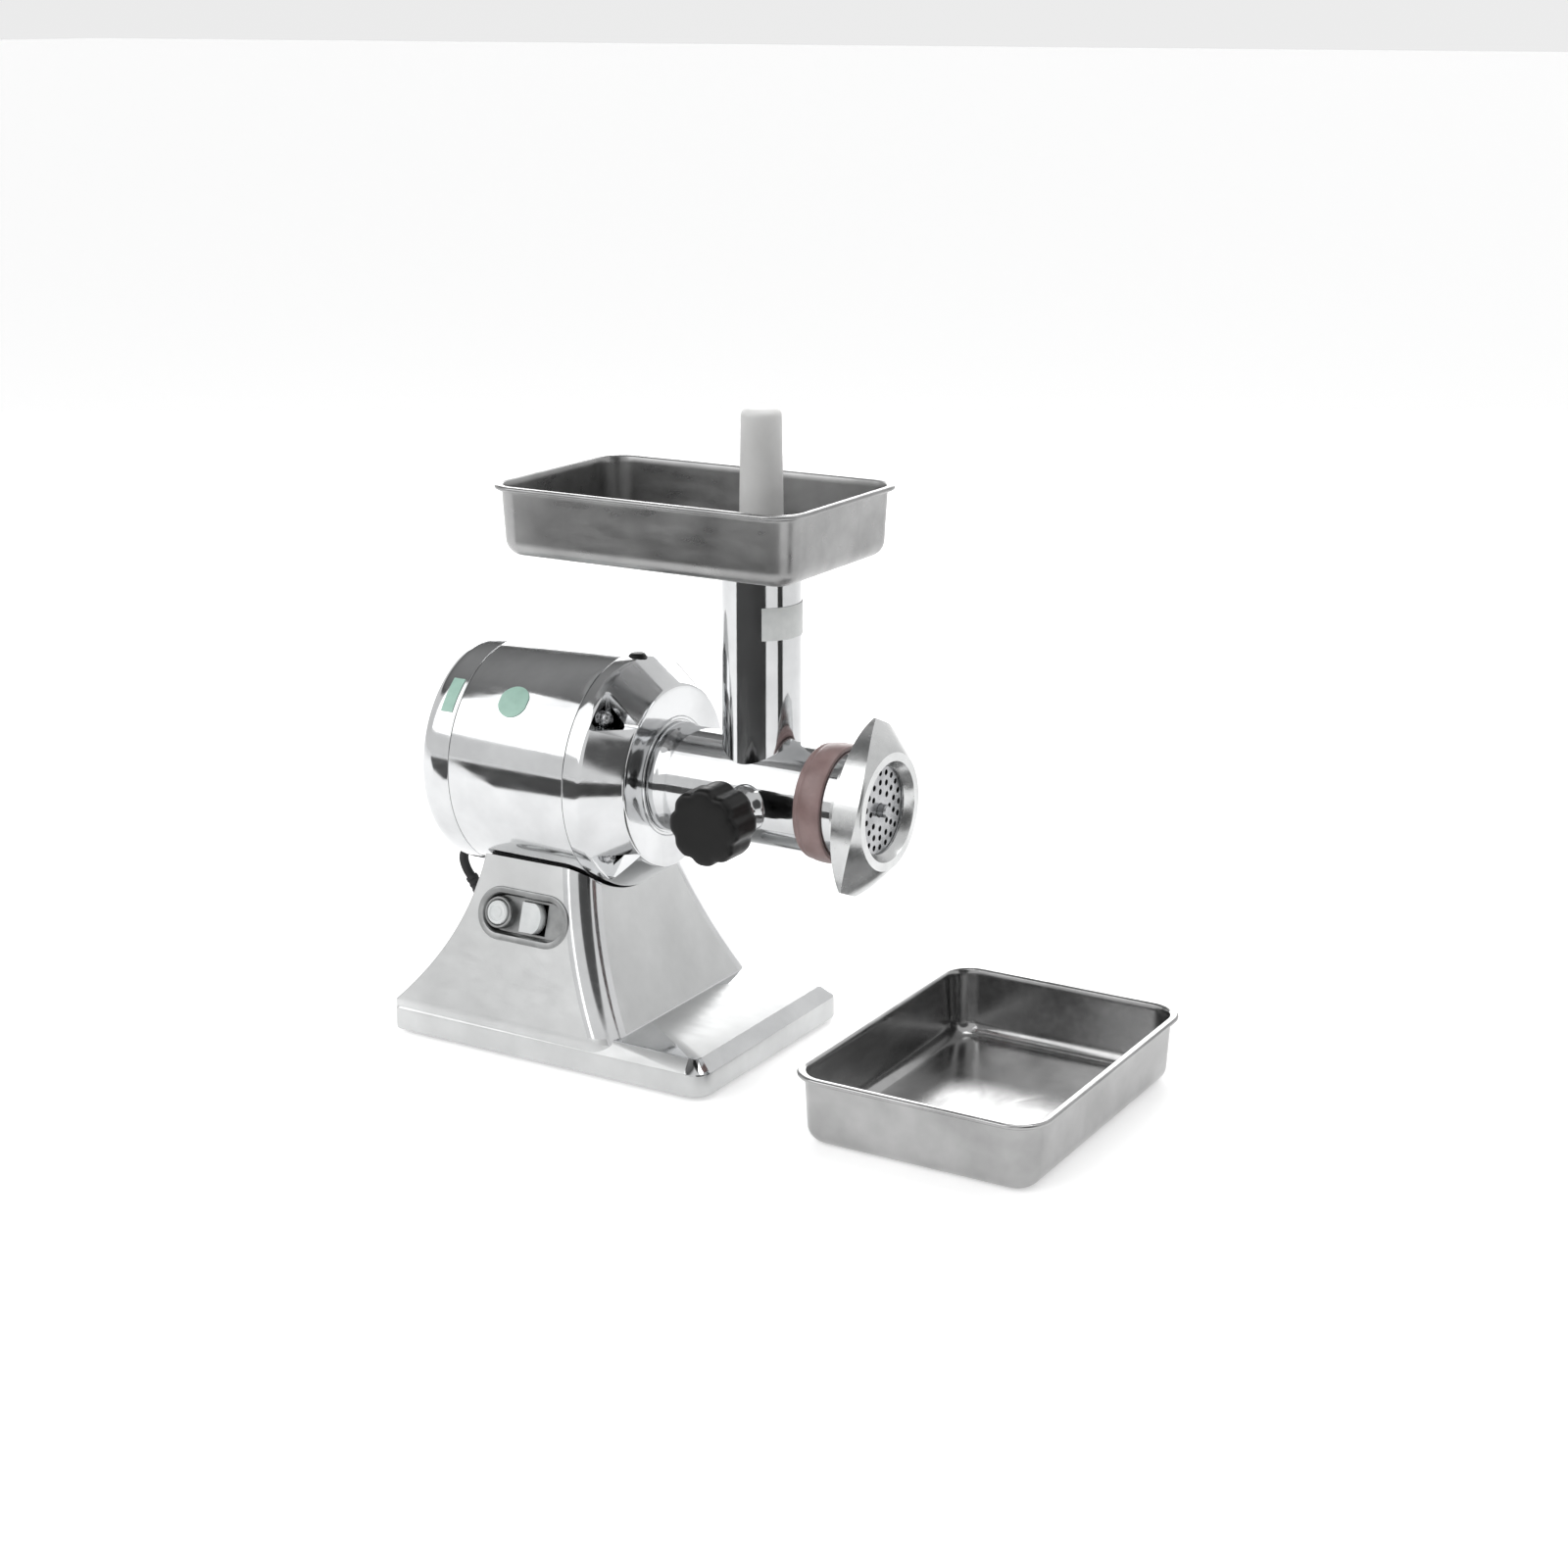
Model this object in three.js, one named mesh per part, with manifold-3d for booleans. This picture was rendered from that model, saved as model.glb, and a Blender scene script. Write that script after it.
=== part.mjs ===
// Electric meat grinder with a size 12 head, feed tray, pusher and catch pan.
// Millimetres, +Z up. X runs along the auger towards the outlet; x = 0 is the feed neck's axis here,
// and the last group moves everything so that the object's box is centred on the origin.
import * as THREE from 'three';
import { mergeVertices } from 'three/addons/utils/BufferGeometryUtils.js';
import Module from 'manifold-3d';

const wasm = await Module();
wasm.setup();

// ---------------------------------------------------------------- driving sizes
const GAP = 0.3;
const AXIS_Z = 202.3;
const MOTOR_R = 85;
const WALL = 3.5;
const BASE = { rear: -261, front: 10, halfWidth: 98, bottom: 3, skirtTop: 20, wall: 4.5, rearR: 5, frontR: 15 };
const PEDESTAL = { top: 150, sideFoot: [98, 22], sideTop: [60, 141], rearR: 5, frontR: 19 };
const PAN = { rear: 92, front: 278.5, halfWidth: 126, top: 50.8 };
const TRAY = { rear: -179, front: 70.5, halfWidth: 81, bottom: 366, top: 416.4 };
const RIM_CORNER_R = 20;
const SHELL = { rear: -240, capSeam: -213, frontSeam: -113, shoulder: -100, nose: -73, noseR: 66.4 };
const BARREL = { rear: SHELL.nose + GAP, front: 93.5, outerR: 38.3, boreR: 26, mouth: 74, mouthR: 35.3 };
const NECK = { outerR: 28, innerR: 25.3, top: TRAY.bottom - GAP };
const SHAFT_R = 10;
const centreX = (BASE.rear + PAN.front) / 2;

// ---------------------------------------------------------------- materials
const finish = (color, roughness, metalness) => new THREE.MeshStandardMaterial({
  color, roughness, metalness, flatShading: true,
});
const polished = finish(0xc9cbcc, 0.12, 1);
const satin = finish(0xbfc1c2, 0.35, 1);
const steel = finish(0xa9adb0, 0.3, 1);
const stainless = finish(0xb4b6b8, 0.25, 1);
const phenolic = finish(0x141414, 0.35, 0);
const rubber = finish(0x1b1b1c, 0.8, 0);
const mauve = finish(0x8e7b7a, 0.45, 0);
const milky = finish(0xf2f1ee, 0.4, 0);
const paleGrey = finish(0xd4d6d6, 0.5, 0);
const copper = finish(0xb56a3c, 0.4, 1);
const brass = finish(0xc5a253, 0.3, 1);

// ---------------------------------------------------------------- geometry helpers
function signedVolume(position, index) {
  const [a, b, c] = [new THREE.Vector3(), new THREE.Vector3(), new THREE.Vector3()];
  let sum = 0;
  for (let i = 0; i < index.length; i += 3) {
    a.fromBufferAttribute(position, index[i]);
    b.fromBufferAttribute(position, index[i + 1]);
    c.fromBufferAttribute(position, index[i + 2]);
    sum += a.dot(b.cross(c));
  }
  return sum / 6;
}

// Merges shared vertices, drops collapsed triangles and turns the faces outwards.
function weld(geometry) {
  const bare = geometry.clone();
  bare.deleteAttribute('normal');
  bare.deleteAttribute('uv');
  const merged = mergeVertices(bare, 1e-4);
  const source = merged.index.array;
  const kept = [];
  for (let i = 0; i < source.length; i += 3) {
    const [a, b, c] = [source[i], source[i + 1], source[i + 2]];
    if (a !== b && b !== c && c !== a) kept.push([a, b, c]);
  }
  const outward = signedVolume(merged.getAttribute('position'), kept.flat()) > 0;
  merged.setIndex((outward ? kept : kept.map(([a, b, c]) => [a, c, b])).flat());
  return merged;
}

function solid(geometry) {
  const welded = weld(geometry);
  return new wasm.Manifold(new wasm.Mesh({
    numProp: 3,
    vertProperties: new Float32Array(welded.getAttribute('position').array),
    triVerts: new Uint32Array(welded.index.array),
  }));
}

function geometryOf(manifold) {
  const mesh = manifold.getMesh();
  const geometry = new THREE.BufferGeometry();
  geometry.setAttribute('position', new THREE.BufferAttribute(new Float32Array(mesh.vertProperties), 3));
  geometry.setIndex(Array.from(mesh.triVerts));
  return geometry;
}

const join = (...geometries) => geometryOf(geometries.map(solid).reduce((a, b) => a.add(b)));
const cut = (body, ...tools) => geometryOf(tools.map(solid).reduce((a, b) => a.subtract(b), solid(body)));
const common = (a, b) => geometryOf(solid(a).intersect(solid(b)));

// A turned piece along X: profile points are [radius, x]; a profile off the axis closes on itself.
function turned(profile, segments = 28) {
  const points = profile.map(([r, x]) => new THREE.Vector2(r, x));
  const onAxis = profile[0][0] === 0 && profile[profile.length - 1][0] === 0;
  if (!onAxis) points.push(points[0].clone());
  return new THREE.LatheGeometry(points, segments).rotateZ(-Math.PI / 2);
}
// The same profile stood upright: points are [radius, z].
const upright = (profile, segments = 28) => turned(profile, segments).rotateY(-Math.PI / 2);

const rodX = (r, x0, x1, y = 0, z = AXIS_Z, segments = 20) =>
  turned([[0, x0], [r, x0], [r, x1], [0, x1]], segments).translate(0, y, z);
const rodY = (r, y0, y1, x = 0, z = AXIS_Z, segments = 32) =>
  turned([[0, y0], [r, y0], [r, y1], [0, y1]], segments).rotateZ(Math.PI / 2).translate(x, 0, z);
const rodZ = (r, z0, z1, x = 0, y = 0, segments = 32) =>
  upright([[0, z0], [r, z0], [r, z1], [0, z1]], segments).translate(x, y, 0);
const ringX = (inner, outer, x0, x1, y = 0, z = AXIS_Z, segments = 24) =>
  turned([[inner, x0], [outer, x0], [outer, x1], [inner, x1]], segments).translate(0, y, z);
const boxBetween = (x0, x1, y0, y1, z0, z1) =>
  new THREE.BoxGeometry(x1 - x0, y1 - y0, z1 - z0).translate((x0 + x1) / 2, (y0 + y1) / 2, (z0 + z1) / 2);

// Turns an extrusion's x, y, z into Y, Z, X, so that a shape drawn in the YZ plane runs along X.
const alongX = (geometry) => geometry.applyMatrix4(new THREE.Matrix4().makeBasis(
  new THREE.Vector3(0, 1, 0), new THREE.Vector3(0, 0, 1), new THREE.Vector3(1, 0, 0)));
const extrudeX = (shape, x0, x1) =>
  alongX(new THREE.ExtrudeGeometry(shape, { depth: x1 - x0, bevelEnabled: false, curveSegments: 8 }))
    .translate(x0, 0, 0);

// A closed skin through rings of equal length, capped with a fan at both ends.
function loft(rings) {
  const count = rings[0].length;
  const points = rings.flat();
  const index = [];
  for (let r = 0; r + 1 < rings.length; r += 1) {
    for (let i = 0; i < count; i += 1) {
      const j = (i + 1) % count;
      const [a, b] = [r * count + i, r * count + j];
      index.push(a, b, b + count, a, b + count, a + count);
    }
  }
  const capped = (ring, start, flip) => {
    const middle = ring.reduce((sum, q) => sum.add(q), new THREE.Vector3()).divideScalar(count);
    points.push(middle);
    for (let i = 0; i < count; i += 1) {
      const pair = [start + i, start + (i + 1) % count];
      index.push(points.length - 1, ...(flip ? pair.reverse() : pair));
    }
  };
  capped(rings[0], 0, true);
  capped(rings[rings.length - 1], (rings.length - 1) * count, false);
  const geometry = new THREE.BufferGeometry().setFromPoints(points);
  geometry.setIndex(index);
  return geometry;
}

// A level outline with rounded corners; height is a number or a function of x.
function roundedRing({ x0, x1, halfWidth, rearR, frontR, height, steps = 4 }) {
  const corners = [
    [x1 - frontR, halfWidth - frontR, frontR, 0],
    [x0 + rearR, halfWidth - rearR, rearR, 1],
    [x0 + rearR, -halfWidth + rearR, rearR, 2],
    [x1 - frontR, -halfWidth + frontR, frontR, 3],
  ];
  return corners.flatMap(([cx, cy, r, quarter]) => Array.from({ length: steps + 1 }, (_, k) => {
    const angle = (quarter + k / steps) * Math.PI / 2;
    const x = cx + r * Math.cos(angle);
    const z = typeof height === 'function' ? height(x) : height;
    return new THREE.Vector3(x, cy + r * Math.sin(angle), z);
  }));
}

const group = new THREE.Group();
function add(name, geometry, material, parent = group) {
  const mesh = new THREE.Mesh(weld(geometry), material);
  mesh.name = name;
  parent.add(mesh);
  return mesh;
}

// ---------------------------------------------------------------- base
const sideSlope = (PEDESTAL.sideFoot[0] - PEDESTAL.sideTop[0]) / (PEDESTAL.sideTop[1] - PEDESTAL.sideFoot[1]);
const sideAt = (z) => PEDESTAL.sideFoot[0] - (z - PEDESTAL.sideFoot[1]) * sideSlope;
const rearFlank = new THREE.QuadraticBezierCurve(
  new THREE.Vector2(BASE.rear, 26), new THREE.Vector2(-205, 80), new THREE.Vector2(-201, 141));
const frontFlank = new THREE.QuadraticBezierCurve(
  new THREE.Vector2(-66, 26), new THREE.Vector2(-99, 78), new THREE.Vector2(-112, 141));
const plateauAt = (x) => 27.5 + 3.5 * Math.min(1, Math.max(0, (BASE.front - x) / 67));

// The foot of the casting, inset all round by the wall for the hollow inside it.
function footLoft(inset, bottom) {
  const ring = (extra, height, rearR, frontR) => roundedRing({
    x0: BASE.rear + inset + extra, x1: BASE.front - inset - extra,
    halfWidth: BASE.halfWidth - inset - extra, rearR, frontR, height,
  });
  return loft([
    ring(0, bottom, BASE.rearR, BASE.frontR),
    ring(0, BASE.skirtTop - inset / 2, BASE.rearR, BASE.frontR),
    ring(10, (x) => plateauAt(x) - inset, 3, 10),
  ]);
}

// The pedestal: a rounded section that follows both flanks and the leaning sides up to the saddle.
function pedestalLoft(inset) {
  const levels = 7;
  const rings = Array.from({ length: levels + 1 }, (_, k) => {
    const height = 26 + (141 - 26) * k / levels;
    const level = (curve) => {
      let [low, high] = [0, 1];
      for (let i = 0; i < 30; i += 1) {
        const middle = (low + high) / 2;
        if (curve.getPoint(middle).y < height) low = middle; else high = middle;
      }
      return curve.getPoint(low).x;
    };
    return roundedRing({
      x0: level(rearFlank) + inset, x1: level(frontFlank) - inset,
      halfWidth: sideAt(height) - inset, rearR: PEDESTAL.rearR, frontR: PEDESTAL.frontR,
      height: height - (k === 0 ? 10 : 0),
    });
  });
  const crown = rings[rings.length - 1].map((q) => q.clone().setZ(PEDESTAL.top));
  return loft([...rings, crown]);
}

const SADDLE_R = MOTOR_R + 2;
const saddleRod = (r) => rodX(r, BASE.rear - 20, BASE.front + 20, 0, AXIS_Z, 48);
const switchPlace = new THREE.Matrix4().makeTranslation(-158, -sideAt(101), 101).multiply(
  new THREE.Matrix4().makeRotationX(Math.atan2(1, sideSlope)));
const GLAND = { x: -231, z: 57, tilt: THREE.MathUtils.degToRad(52), hole: 8.3 };
const glandPlace = new THREE.Matrix4().makeTranslation(GLAND.x, 0, GLAND.z).multiply(
  new THREE.Matrix4().makeRotationY(Math.PI + GLAND.tilt));

function stadium(halfLength, halfHeight) {
  const straight = halfLength - halfHeight;
  const shape = new THREE.Shape();
  shape.absarc(straight, 0, halfHeight, -Math.PI / 2, Math.PI / 2, false);
  shape.absarc(-straight, 0, halfHeight, Math.PI / 2, Math.PI * 1.5, false);
  return shape;
}
const plug = (shape, from, to) =>
  new THREE.ExtrudeGeometry(shape, { depth: to - from, bevelEnabled: false, curveSegments: 8 })
    .translate(0, 0, from);
const placed = (geometry, matrix) => geometry.applyMatrix4(matrix);

const hollow = geometryOf(
  solid(footLoft(BASE.wall, -5)).add(solid(pedestalLoft(BASE.wall))).subtract(solid(saddleRod(SADDLE_R + 4))));
add('base_casting', cut(
  join(footLoft(0, BASE.bottom), pedestalLoft(0)),
  saddleRod(SADDLE_R),
  hollow,
  rodZ(14, 80, 130, -155, 0),
  placed(plug(stadium(38, 17.5), -20, 12), switchPlace),
  placed(rodX(GLAND.hole, -14, 16, 0, 0), glandPlace),
), satin);

const coverRing = (height) => roundedRing({
  x0: BASE.rear + BASE.wall + 0.6, x1: BASE.front - BASE.wall - 0.6,
  halfWidth: BASE.halfWidth - BASE.wall - 0.6, rearR: BASE.rearR, frontR: BASE.frontR, height,
});
const ventSlots = [-3, -2, -1, 0, 1, 2, 3].map((k) =>
  boxBetween(-150 + k * 14, -144 + k * 14, -40, 40, 0, 10));
add('base_cover', cut(loft([coverRing(4), coverRing(6)]), ...ventSlots), steel);

const FOOT = { r: 11, top: 4 - GAP };
for (const [end, x] of [['rear', -238], ['front', -14]]) {
  for (const [side, y] of [['near', -76], ['far', 76]]) {
    add(`foot_${end}_${side}`, upright([[0, 0], [FOOT.r - 1.5, 0], [FOOT.r, FOOT.top], [0, FOOT.top]], 16)
      .translate(x, y, 0), rubber);
  }
}

const saddleHalfAngle = Math.asin(58 / SADDLE_R);
function saddleSheet(inner, outer, halfAngle, x0, x1) {
  const shape = new THREE.Shape();
  const down = -Math.PI / 2;
  shape.absarc(0, AXIS_Z, outer, down - halfAngle, down + halfAngle, false);
  shape.absarc(0, AXIS_Z, inner, down + halfAngle, down - halfAngle, true);
  return extrudeX(shape, x0, x1);
}
add('saddle_gasket', cut(
  saddleSheet(MOTOR_R + GAP, SADDLE_R - GAP, saddleHalfAngle, -197, -128),
  rodZ(14, 80, 130, -155, 0)), rubber);

// ---------------------------------------------------------------- switch, drawn flat and leant on the side face
const switchGroup = new THREE.Group();
switchPlace.decompose(switchGroup.position, switchGroup.quaternion, switchGroup.scale);
group.add(switchGroup);
const BUTTON = { u: -23, r: 8.7, guardR: 11.8 };
const ROCKER = { u: 5, r: 10, halfHeight: 11 };
const rodW = (r, u, w0, w1) => rodZ(r, w0, w1, u, 0, 28);
add('switch_bezel', cut(
  join(plug(stadium(40, 19.5), GAP, 2), plug(stadium(37.5, 17), -9, 1), rodW(BUTTON.guardR, BUTTON.u, -7.5, 1)),
  cut(plug(stadium(34.5, 14), -7, 5), rodW(BUTTON.guardR, BUTTON.u, -7.5, 1)),
  rodW(BUTTON.r + 0.5, BUTTON.u, -12, 5),
  boxBetween(ROCKER.u - ROCKER.r - 0.8, ROCKER.u + ROCKER.r + 0.8, -11.6, 11.6, -12, 5),
), satin, switchGroup);
add('start_button', turned([[0, -13], [BUTTON.r, -13], [BUTTON.r, 0.5], [BUTTON.r - 1.5, 2], [0, 2]], 28)
  .rotateY(-Math.PI / 2).translate(BUTTON.u, 0, 0), paleGrey, switchGroup);
const rockerShape = new THREE.Shape();
rockerShape.moveTo(-ROCKER.r, 0);
rockerShape.absarc(0, 0, ROCKER.r, Math.PI, Math.PI * 2, false);
rockerShape.lineTo(8.5, 2.6);
rockerShape.lineTo(0, 0.8);
rockerShape.lineTo(-8.5, 2.6);
add('stop_rocker', new THREE.ExtrudeGeometry(rockerShape,
  { depth: 2 * ROCKER.halfHeight, bevelEnabled: false, curveSegments: 16 })
  .rotateX(Math.PI / 2).translate(ROCKER.u, ROCKER.halfHeight, -4), paleGrey, switchGroup);
add('switch_body', boxBetween(-36, 20, -13, 13, -46, -16.5), phenolic, switchGroup);

// ---------------------------------------------------------------- electrics in the base, cord and plug
add('capacitor', rodX(16, -195, -135, 32, 40, 28), steel);
add('terminal_block', boxBetween(-128, -100, 10, 34, 20, 36), milky);

const CORD_R = 3.6;
const RELIEF = { start: 4.3, tip: 48, rootR: 6.6 };
const glandGroup = new THREE.Group();
glandPlace.decompose(glandGroup.position, glandGroup.quaternion, glandGroup.scale);
group.add(glandGroup);
add('cable_gland', turned([
  [4, -12], [7.8, -12], [7.8, 5], [11, 6], [11, 11], [8, 12.5], [4, 12.5],
], 16), rubber, glandGroup);
add('strain_relief', turned([
  [0, 12.8], [RELIEF.rootR, 12.8], [CORD_R + 1.1, RELIEF.tip], [0, RELIEF.tip],
], 12), rubber, glandGroup);

// The coil is five turns wide and two layers high; the lead and the tail meet it along its tangents.
const COIL = { x: -200, y: 158, meanR: 43, halfWidth: 11, top: 13.7, leadR: 50.2, tailR: 46.6 };
const coilReach = COIL.meanR + COIL.halfWidth + CORD_R + 2 * GAP;
const onGland = (distance) => new THREE.Vector3(distance, 0, 0).applyMatrix4(glandPlace);
const lead = [
  onGland(RELIEF.tip + GAP),
  onGland(RELIEF.tip + 8),
  new THREE.Vector3(-269, 6, 106),
  new THREE.Vector3(-270, 18, 109.5),
  new THREE.Vector3(-269, 32, 108),
  new THREE.Vector3(-267, 48, 100),
  new THREE.Vector3(-266, 64, 84),
  new THREE.Vector3(-266, 76, 64),
  new THREE.Vector3(-266, 84, 44),
  new THREE.Vector3(-267.5, 90, 27),
  new THREE.Vector3(-267, 97, 13),
  new THREE.Vector3(-260, 104.5, 5.4),
  new THREE.Vector3(-247, 108, 3.8),
  new THREE.Vector3(COIL.x - Math.sqrt(coilReach ** 2 - COIL.leadR ** 2), COIL.y - COIL.leadR, 3.7),
];
const roundSection = (r, sides) => new THREE.Shape(Array.from({ length: sides }, (_, k) =>
  new THREE.Vector2(r * Math.cos(2 * Math.PI * k / sides), r * Math.sin(2 * Math.PI * k / sides))));
const tube = (points, r, steps) => new THREE.ExtrudeGeometry(roundSection(r, 8),
  { steps, bevelEnabled: false, extrudePath: new THREE.CatmullRomCurve3(points, false, 'centripetal') });
add('power_cord', tube(lead, CORD_R, 24), rubber);

add('power_cord_coil', upright([
  [COIL.meanR - COIL.halfWidth, 0.1], [COIL.meanR + COIL.halfWidth, 0.1],
  [COIL.meanR + COIL.halfWidth, 7], [COIL.meanR + 7.6, COIL.top], [COIL.meanR - 7.6, COIL.top],
  [COIL.meanR - COIL.halfWidth, 7],
], 32).translate(COIL.x, COIL.y, 0), rubber);
const PLUG = { x: -258, y: COIL.y + COIL.tailR, z: 16, r: 15 };
add('power_cord_tail', tube([
  new THREE.Vector3(COIL.x - Math.sqrt(coilReach ** 2 - COIL.tailR ** 2), PLUG.y, 10.4),
  new THREE.Vector3(PLUG.x + 14, PLUG.y, 11.6),
  new THREE.Vector3(PLUG.x + 8, PLUG.y, 14.6),
  new THREE.Vector3(PLUG.x + 4, PLUG.y, PLUG.z),
  new THREE.Vector3(PLUG.x + GAP, PLUG.y, PLUG.z),
], CORD_R, 6), rubber);
add('plug_body', turned([
  [0, 0], [6, 0], [9, 14], [PLUG.r, 26], [PLUG.r + 0.8, 48], [0, 48],
], 20).rotateZ(Math.PI).translate(PLUG.x, PLUG.y, PLUG.z), rubber);
for (const [name, side] of [['plug_pin_1', -1], ['plug_pin_2', 1]]) {
  add(name, rodX(2.4, PLUG.x - 67, PLUG.x - 48 - GAP, PLUG.y + side * 9.5, PLUG.z, 12), brass);
}

// ---------------------------------------------------------------- motor
const INNER_R = MOTOR_R - WALL;
add('motor_shell', ringX(INNER_R, MOTOR_R, SHELL.capSeam + GAP, SHELL.frontSeam - GAP, 0, AXIS_Z, 48), polished);
const ventRing = [0, 1, 2].flatMap((k) => [-1, 1].map((side) =>
  boxBetween(SHELL.rear - 5, SHELL.rear + 5, -30 + 4 * k, 30 - 4 * k,
    AXIS_Z + side * (30 + 10 * k) - 2.2, AXIS_Z + side * (30 + 10 * k) + 2.2)));
add('motor_rear_cap', cut(turned([
  [0, SHELL.rear], [78, SHELL.rear], [83, SHELL.rear + 2.2], [MOTOR_R, SHELL.rear + 7],
  [MOTOR_R, SHELL.capSeam], [INNER_R, SHELL.capSeam], [INNER_R, SHELL.rear + 8], [78, SHELL.rear + 4],
  [20, SHELL.rear + 4], [20, -226], [16.3, -226], [16.3, SHELL.rear + 4], [0, SHELL.rear + 4],
], 48).translate(0, 0, AXIS_Z), ...ventRing), polished);

const STATOR = { x0: -190, x1: -140, bore: 45.3 };
function statorShape() {
  const shape = new THREE.Shape();
  shape.absarc(0, AXIS_Z, INNER_R - GAP, 0, Math.PI * 2, false);
  const slots = 12;
  const bore = [];
  for (let k = 0; k < slots; k += 1) {
    for (const [part, radius] of [[0, STATOR.bore], [0.55, STATOR.bore], [0.55, 64], [0.95, 64]]) {
      const angle = -2 * Math.PI * (k + part) / slots;
      bore.push(new THREE.Vector2(radius * Math.cos(angle), AXIS_Z + radius * Math.sin(angle)));
    }
  }
  shape.holes.push(new THREE.Path(bore));
  return shape;
}
add('stator_core', new THREE.Mesh(alongX(new THREE.ExtrudeGeometry(statorShape(),
  { depth: STATOR.x1 - STATOR.x0, bevelEnabled: false, curveSegments: 36 }))
  .translate(STATOR.x0, 0, 0)).geometry, steel);
const windingProfile = (x0, x1) => [[49, x0], [67, x0], [69, x1 - 3], [66, x1], [49, x1]];
add('winding_rear', turned(windingProfile(-204.5, STATOR.x0 - GAP), 24).translate(0, 0, AXIS_Z), copper);
add('winding_front', turned(windingProfile(STATOR.x1 + GAP, -125), 24).translate(0, 0, AXIS_Z), copper);

const ROTOR_R = 8;
add('rotor_core', ringX(ROTOR_R + GAP, 44.2, STATOR.x0, STATOR.x1), steel);
add('rotor_shaft', turned([
  [0, -235], [ROTOR_R, -235], [ROTOR_R, -106.6], [6, -106.6], [6, -99.4], [0, -99.4],
], 32).translate(0, 0, AXIS_Z), steel);
const fanBlades = Array.from({ length: 6 }, (_, k) =>
  boxBetween(-221, -210, -1.2, 1.2, 14, 70).rotateX(k * Math.PI / 3).translate(0, 0, AXIS_Z));
add('cooling_fan', cut(
  join(ringX(6, 15, -221, -209), ringX(14, 68, -210.5, -208.5), ...fanBlades),
  rodX(ROTOR_R + GAP, -225, -205)), paleGrey);
const BEARING = { outerR: 16, boreR: ROTOR_R + GAP };
const PLATE = { x0: SHELL.frontSeam + GAP, x1: -107.2, r: 79 };
add('rear_bearing', ringX(BEARING.boreR, BEARING.outerR, -235.6, -227), steel);
add('front_bearing', ringX(BEARING.boreR, BEARING.outerR, PLATE.x0, PLATE.x1), steel);

// ---------------------------------------------------------------- gearbox: two coaxial stages of 14 and 36 teeth
const GEAR = { module: 1.5, small: 14, large: 36, backlash: 0.45, bore: 6 };
const layshaftZ = AXIS_Z - GEAR.module * (GEAR.small + GEAR.large) / 2;
const STAGE_1 = { x0: -106, x1: -99.5 };
const STAGE_2 = { x0: -98.3, x1: -88.4 };

// A stub-tooth involute outline: one tooth is centred on startAngle.
function gearShape(teeth, startAngle, boreR) {
  const pitchR = GEAR.module * teeth / 2;
  const baseR = pitchR * Math.cos(THREE.MathUtils.degToRad(20));
  const rootR = pitchR - 1.2 * GEAR.module;
  const tipR = pitchR + 0.8 * GEAR.module;
  const involute = (r) => {
    const a = Math.acos(Math.min(1, baseR / r));
    return Math.tan(a) - a;
  };
  const halfAt = (r) => (Math.PI * GEAR.module / 2 - GEAR.backlash) / (2 * pitchR)
    + involute(pitchR) - involute(Math.max(r, baseR));
  const radii = [rootR, pitchR, tipR];
  const flank = radii.map((r) => [r, halfAt(r)]);
  const outline = [];
  for (let k = 0; k < teeth; k += 1) {
    const centre = startAngle + 2 * Math.PI * k / teeth;
    const points = [...flank.map(([r, half]) => [r, centre - half]),
      ...[...flank].reverse().map(([r, half]) => [r, centre + half])];
    points.forEach(([r, angle]) => outline.push(new THREE.Vector2(r * Math.cos(angle), r * Math.sin(angle))));
  }
  const shape = new THREE.Shape(outline);
  if (boreR) shape.holes.push(new THREE.Path().absarc(0, 0, boreR, 0, Math.PI * 2, true));
  return shape;
}
const halfPitch = Math.PI / GEAR.large;
const gearX = (shape, stage, z) => extrudeX(shape, stage.x0, stage.x1).translate(0, 0, z);

const gearPlate = cut(rodX(PLATE.r, PLATE.x0, PLATE.x1, 0, AXIS_Z, 48),
  rodX(BEARING.outerR + GAP, PLATE.x0 - 1, PLATE.x1 + 1, 0, AXIS_Z, 40),
  rodX(GEAR.bore + GAP, PLATE.x0 - 1, PLATE.x1 + 1, 0, layshaftZ, 32));
add('bearing_plate', gearPlate, satin);
add('rotor_pinion', gearX(gearShape(GEAR.small, -Math.PI / 2, GEAR.bore + GAP), STAGE_1, AXIS_Z), steel);
add('layshaft_gear', gearX(gearShape(GEAR.large, Math.PI / 2 + halfPitch, GEAR.bore + GAP), STAGE_1, layshaftZ),
  steel);
add('layshaft', join(rodX(GEAR.bore, -112.4, -80, 0, layshaftZ, 32),
  gearX(gearShape(GEAR.small, Math.PI / 2, 0), STAGE_2, layshaftZ)), steel);
add('output_gear', gearX(gearShape(GEAR.large, -Math.PI / 2 + halfPitch, SHAFT_R + GAP), STAGE_2, AXIS_Z), steel);

const DRIVE = { half: 6, front: -54 };
add('output_shaft', join(rodX(SHAFT_R, -98.6, -72, 0, AXIS_Z, 32),
  boxBetween(-73, DRIVE.front, -DRIVE.half, DRIVE.half, AXIS_Z - DRIVE.half, AXIS_Z + DRIVE.half)), steel);
add('output_bearing', ringX(SHAFT_R + GAP, 20, -87, -79.3), steel);
add('shaft_seal', ringX(SHAFT_R + GAP, 18, -77.2, SHELL.nose - GAP), rubber);

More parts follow.
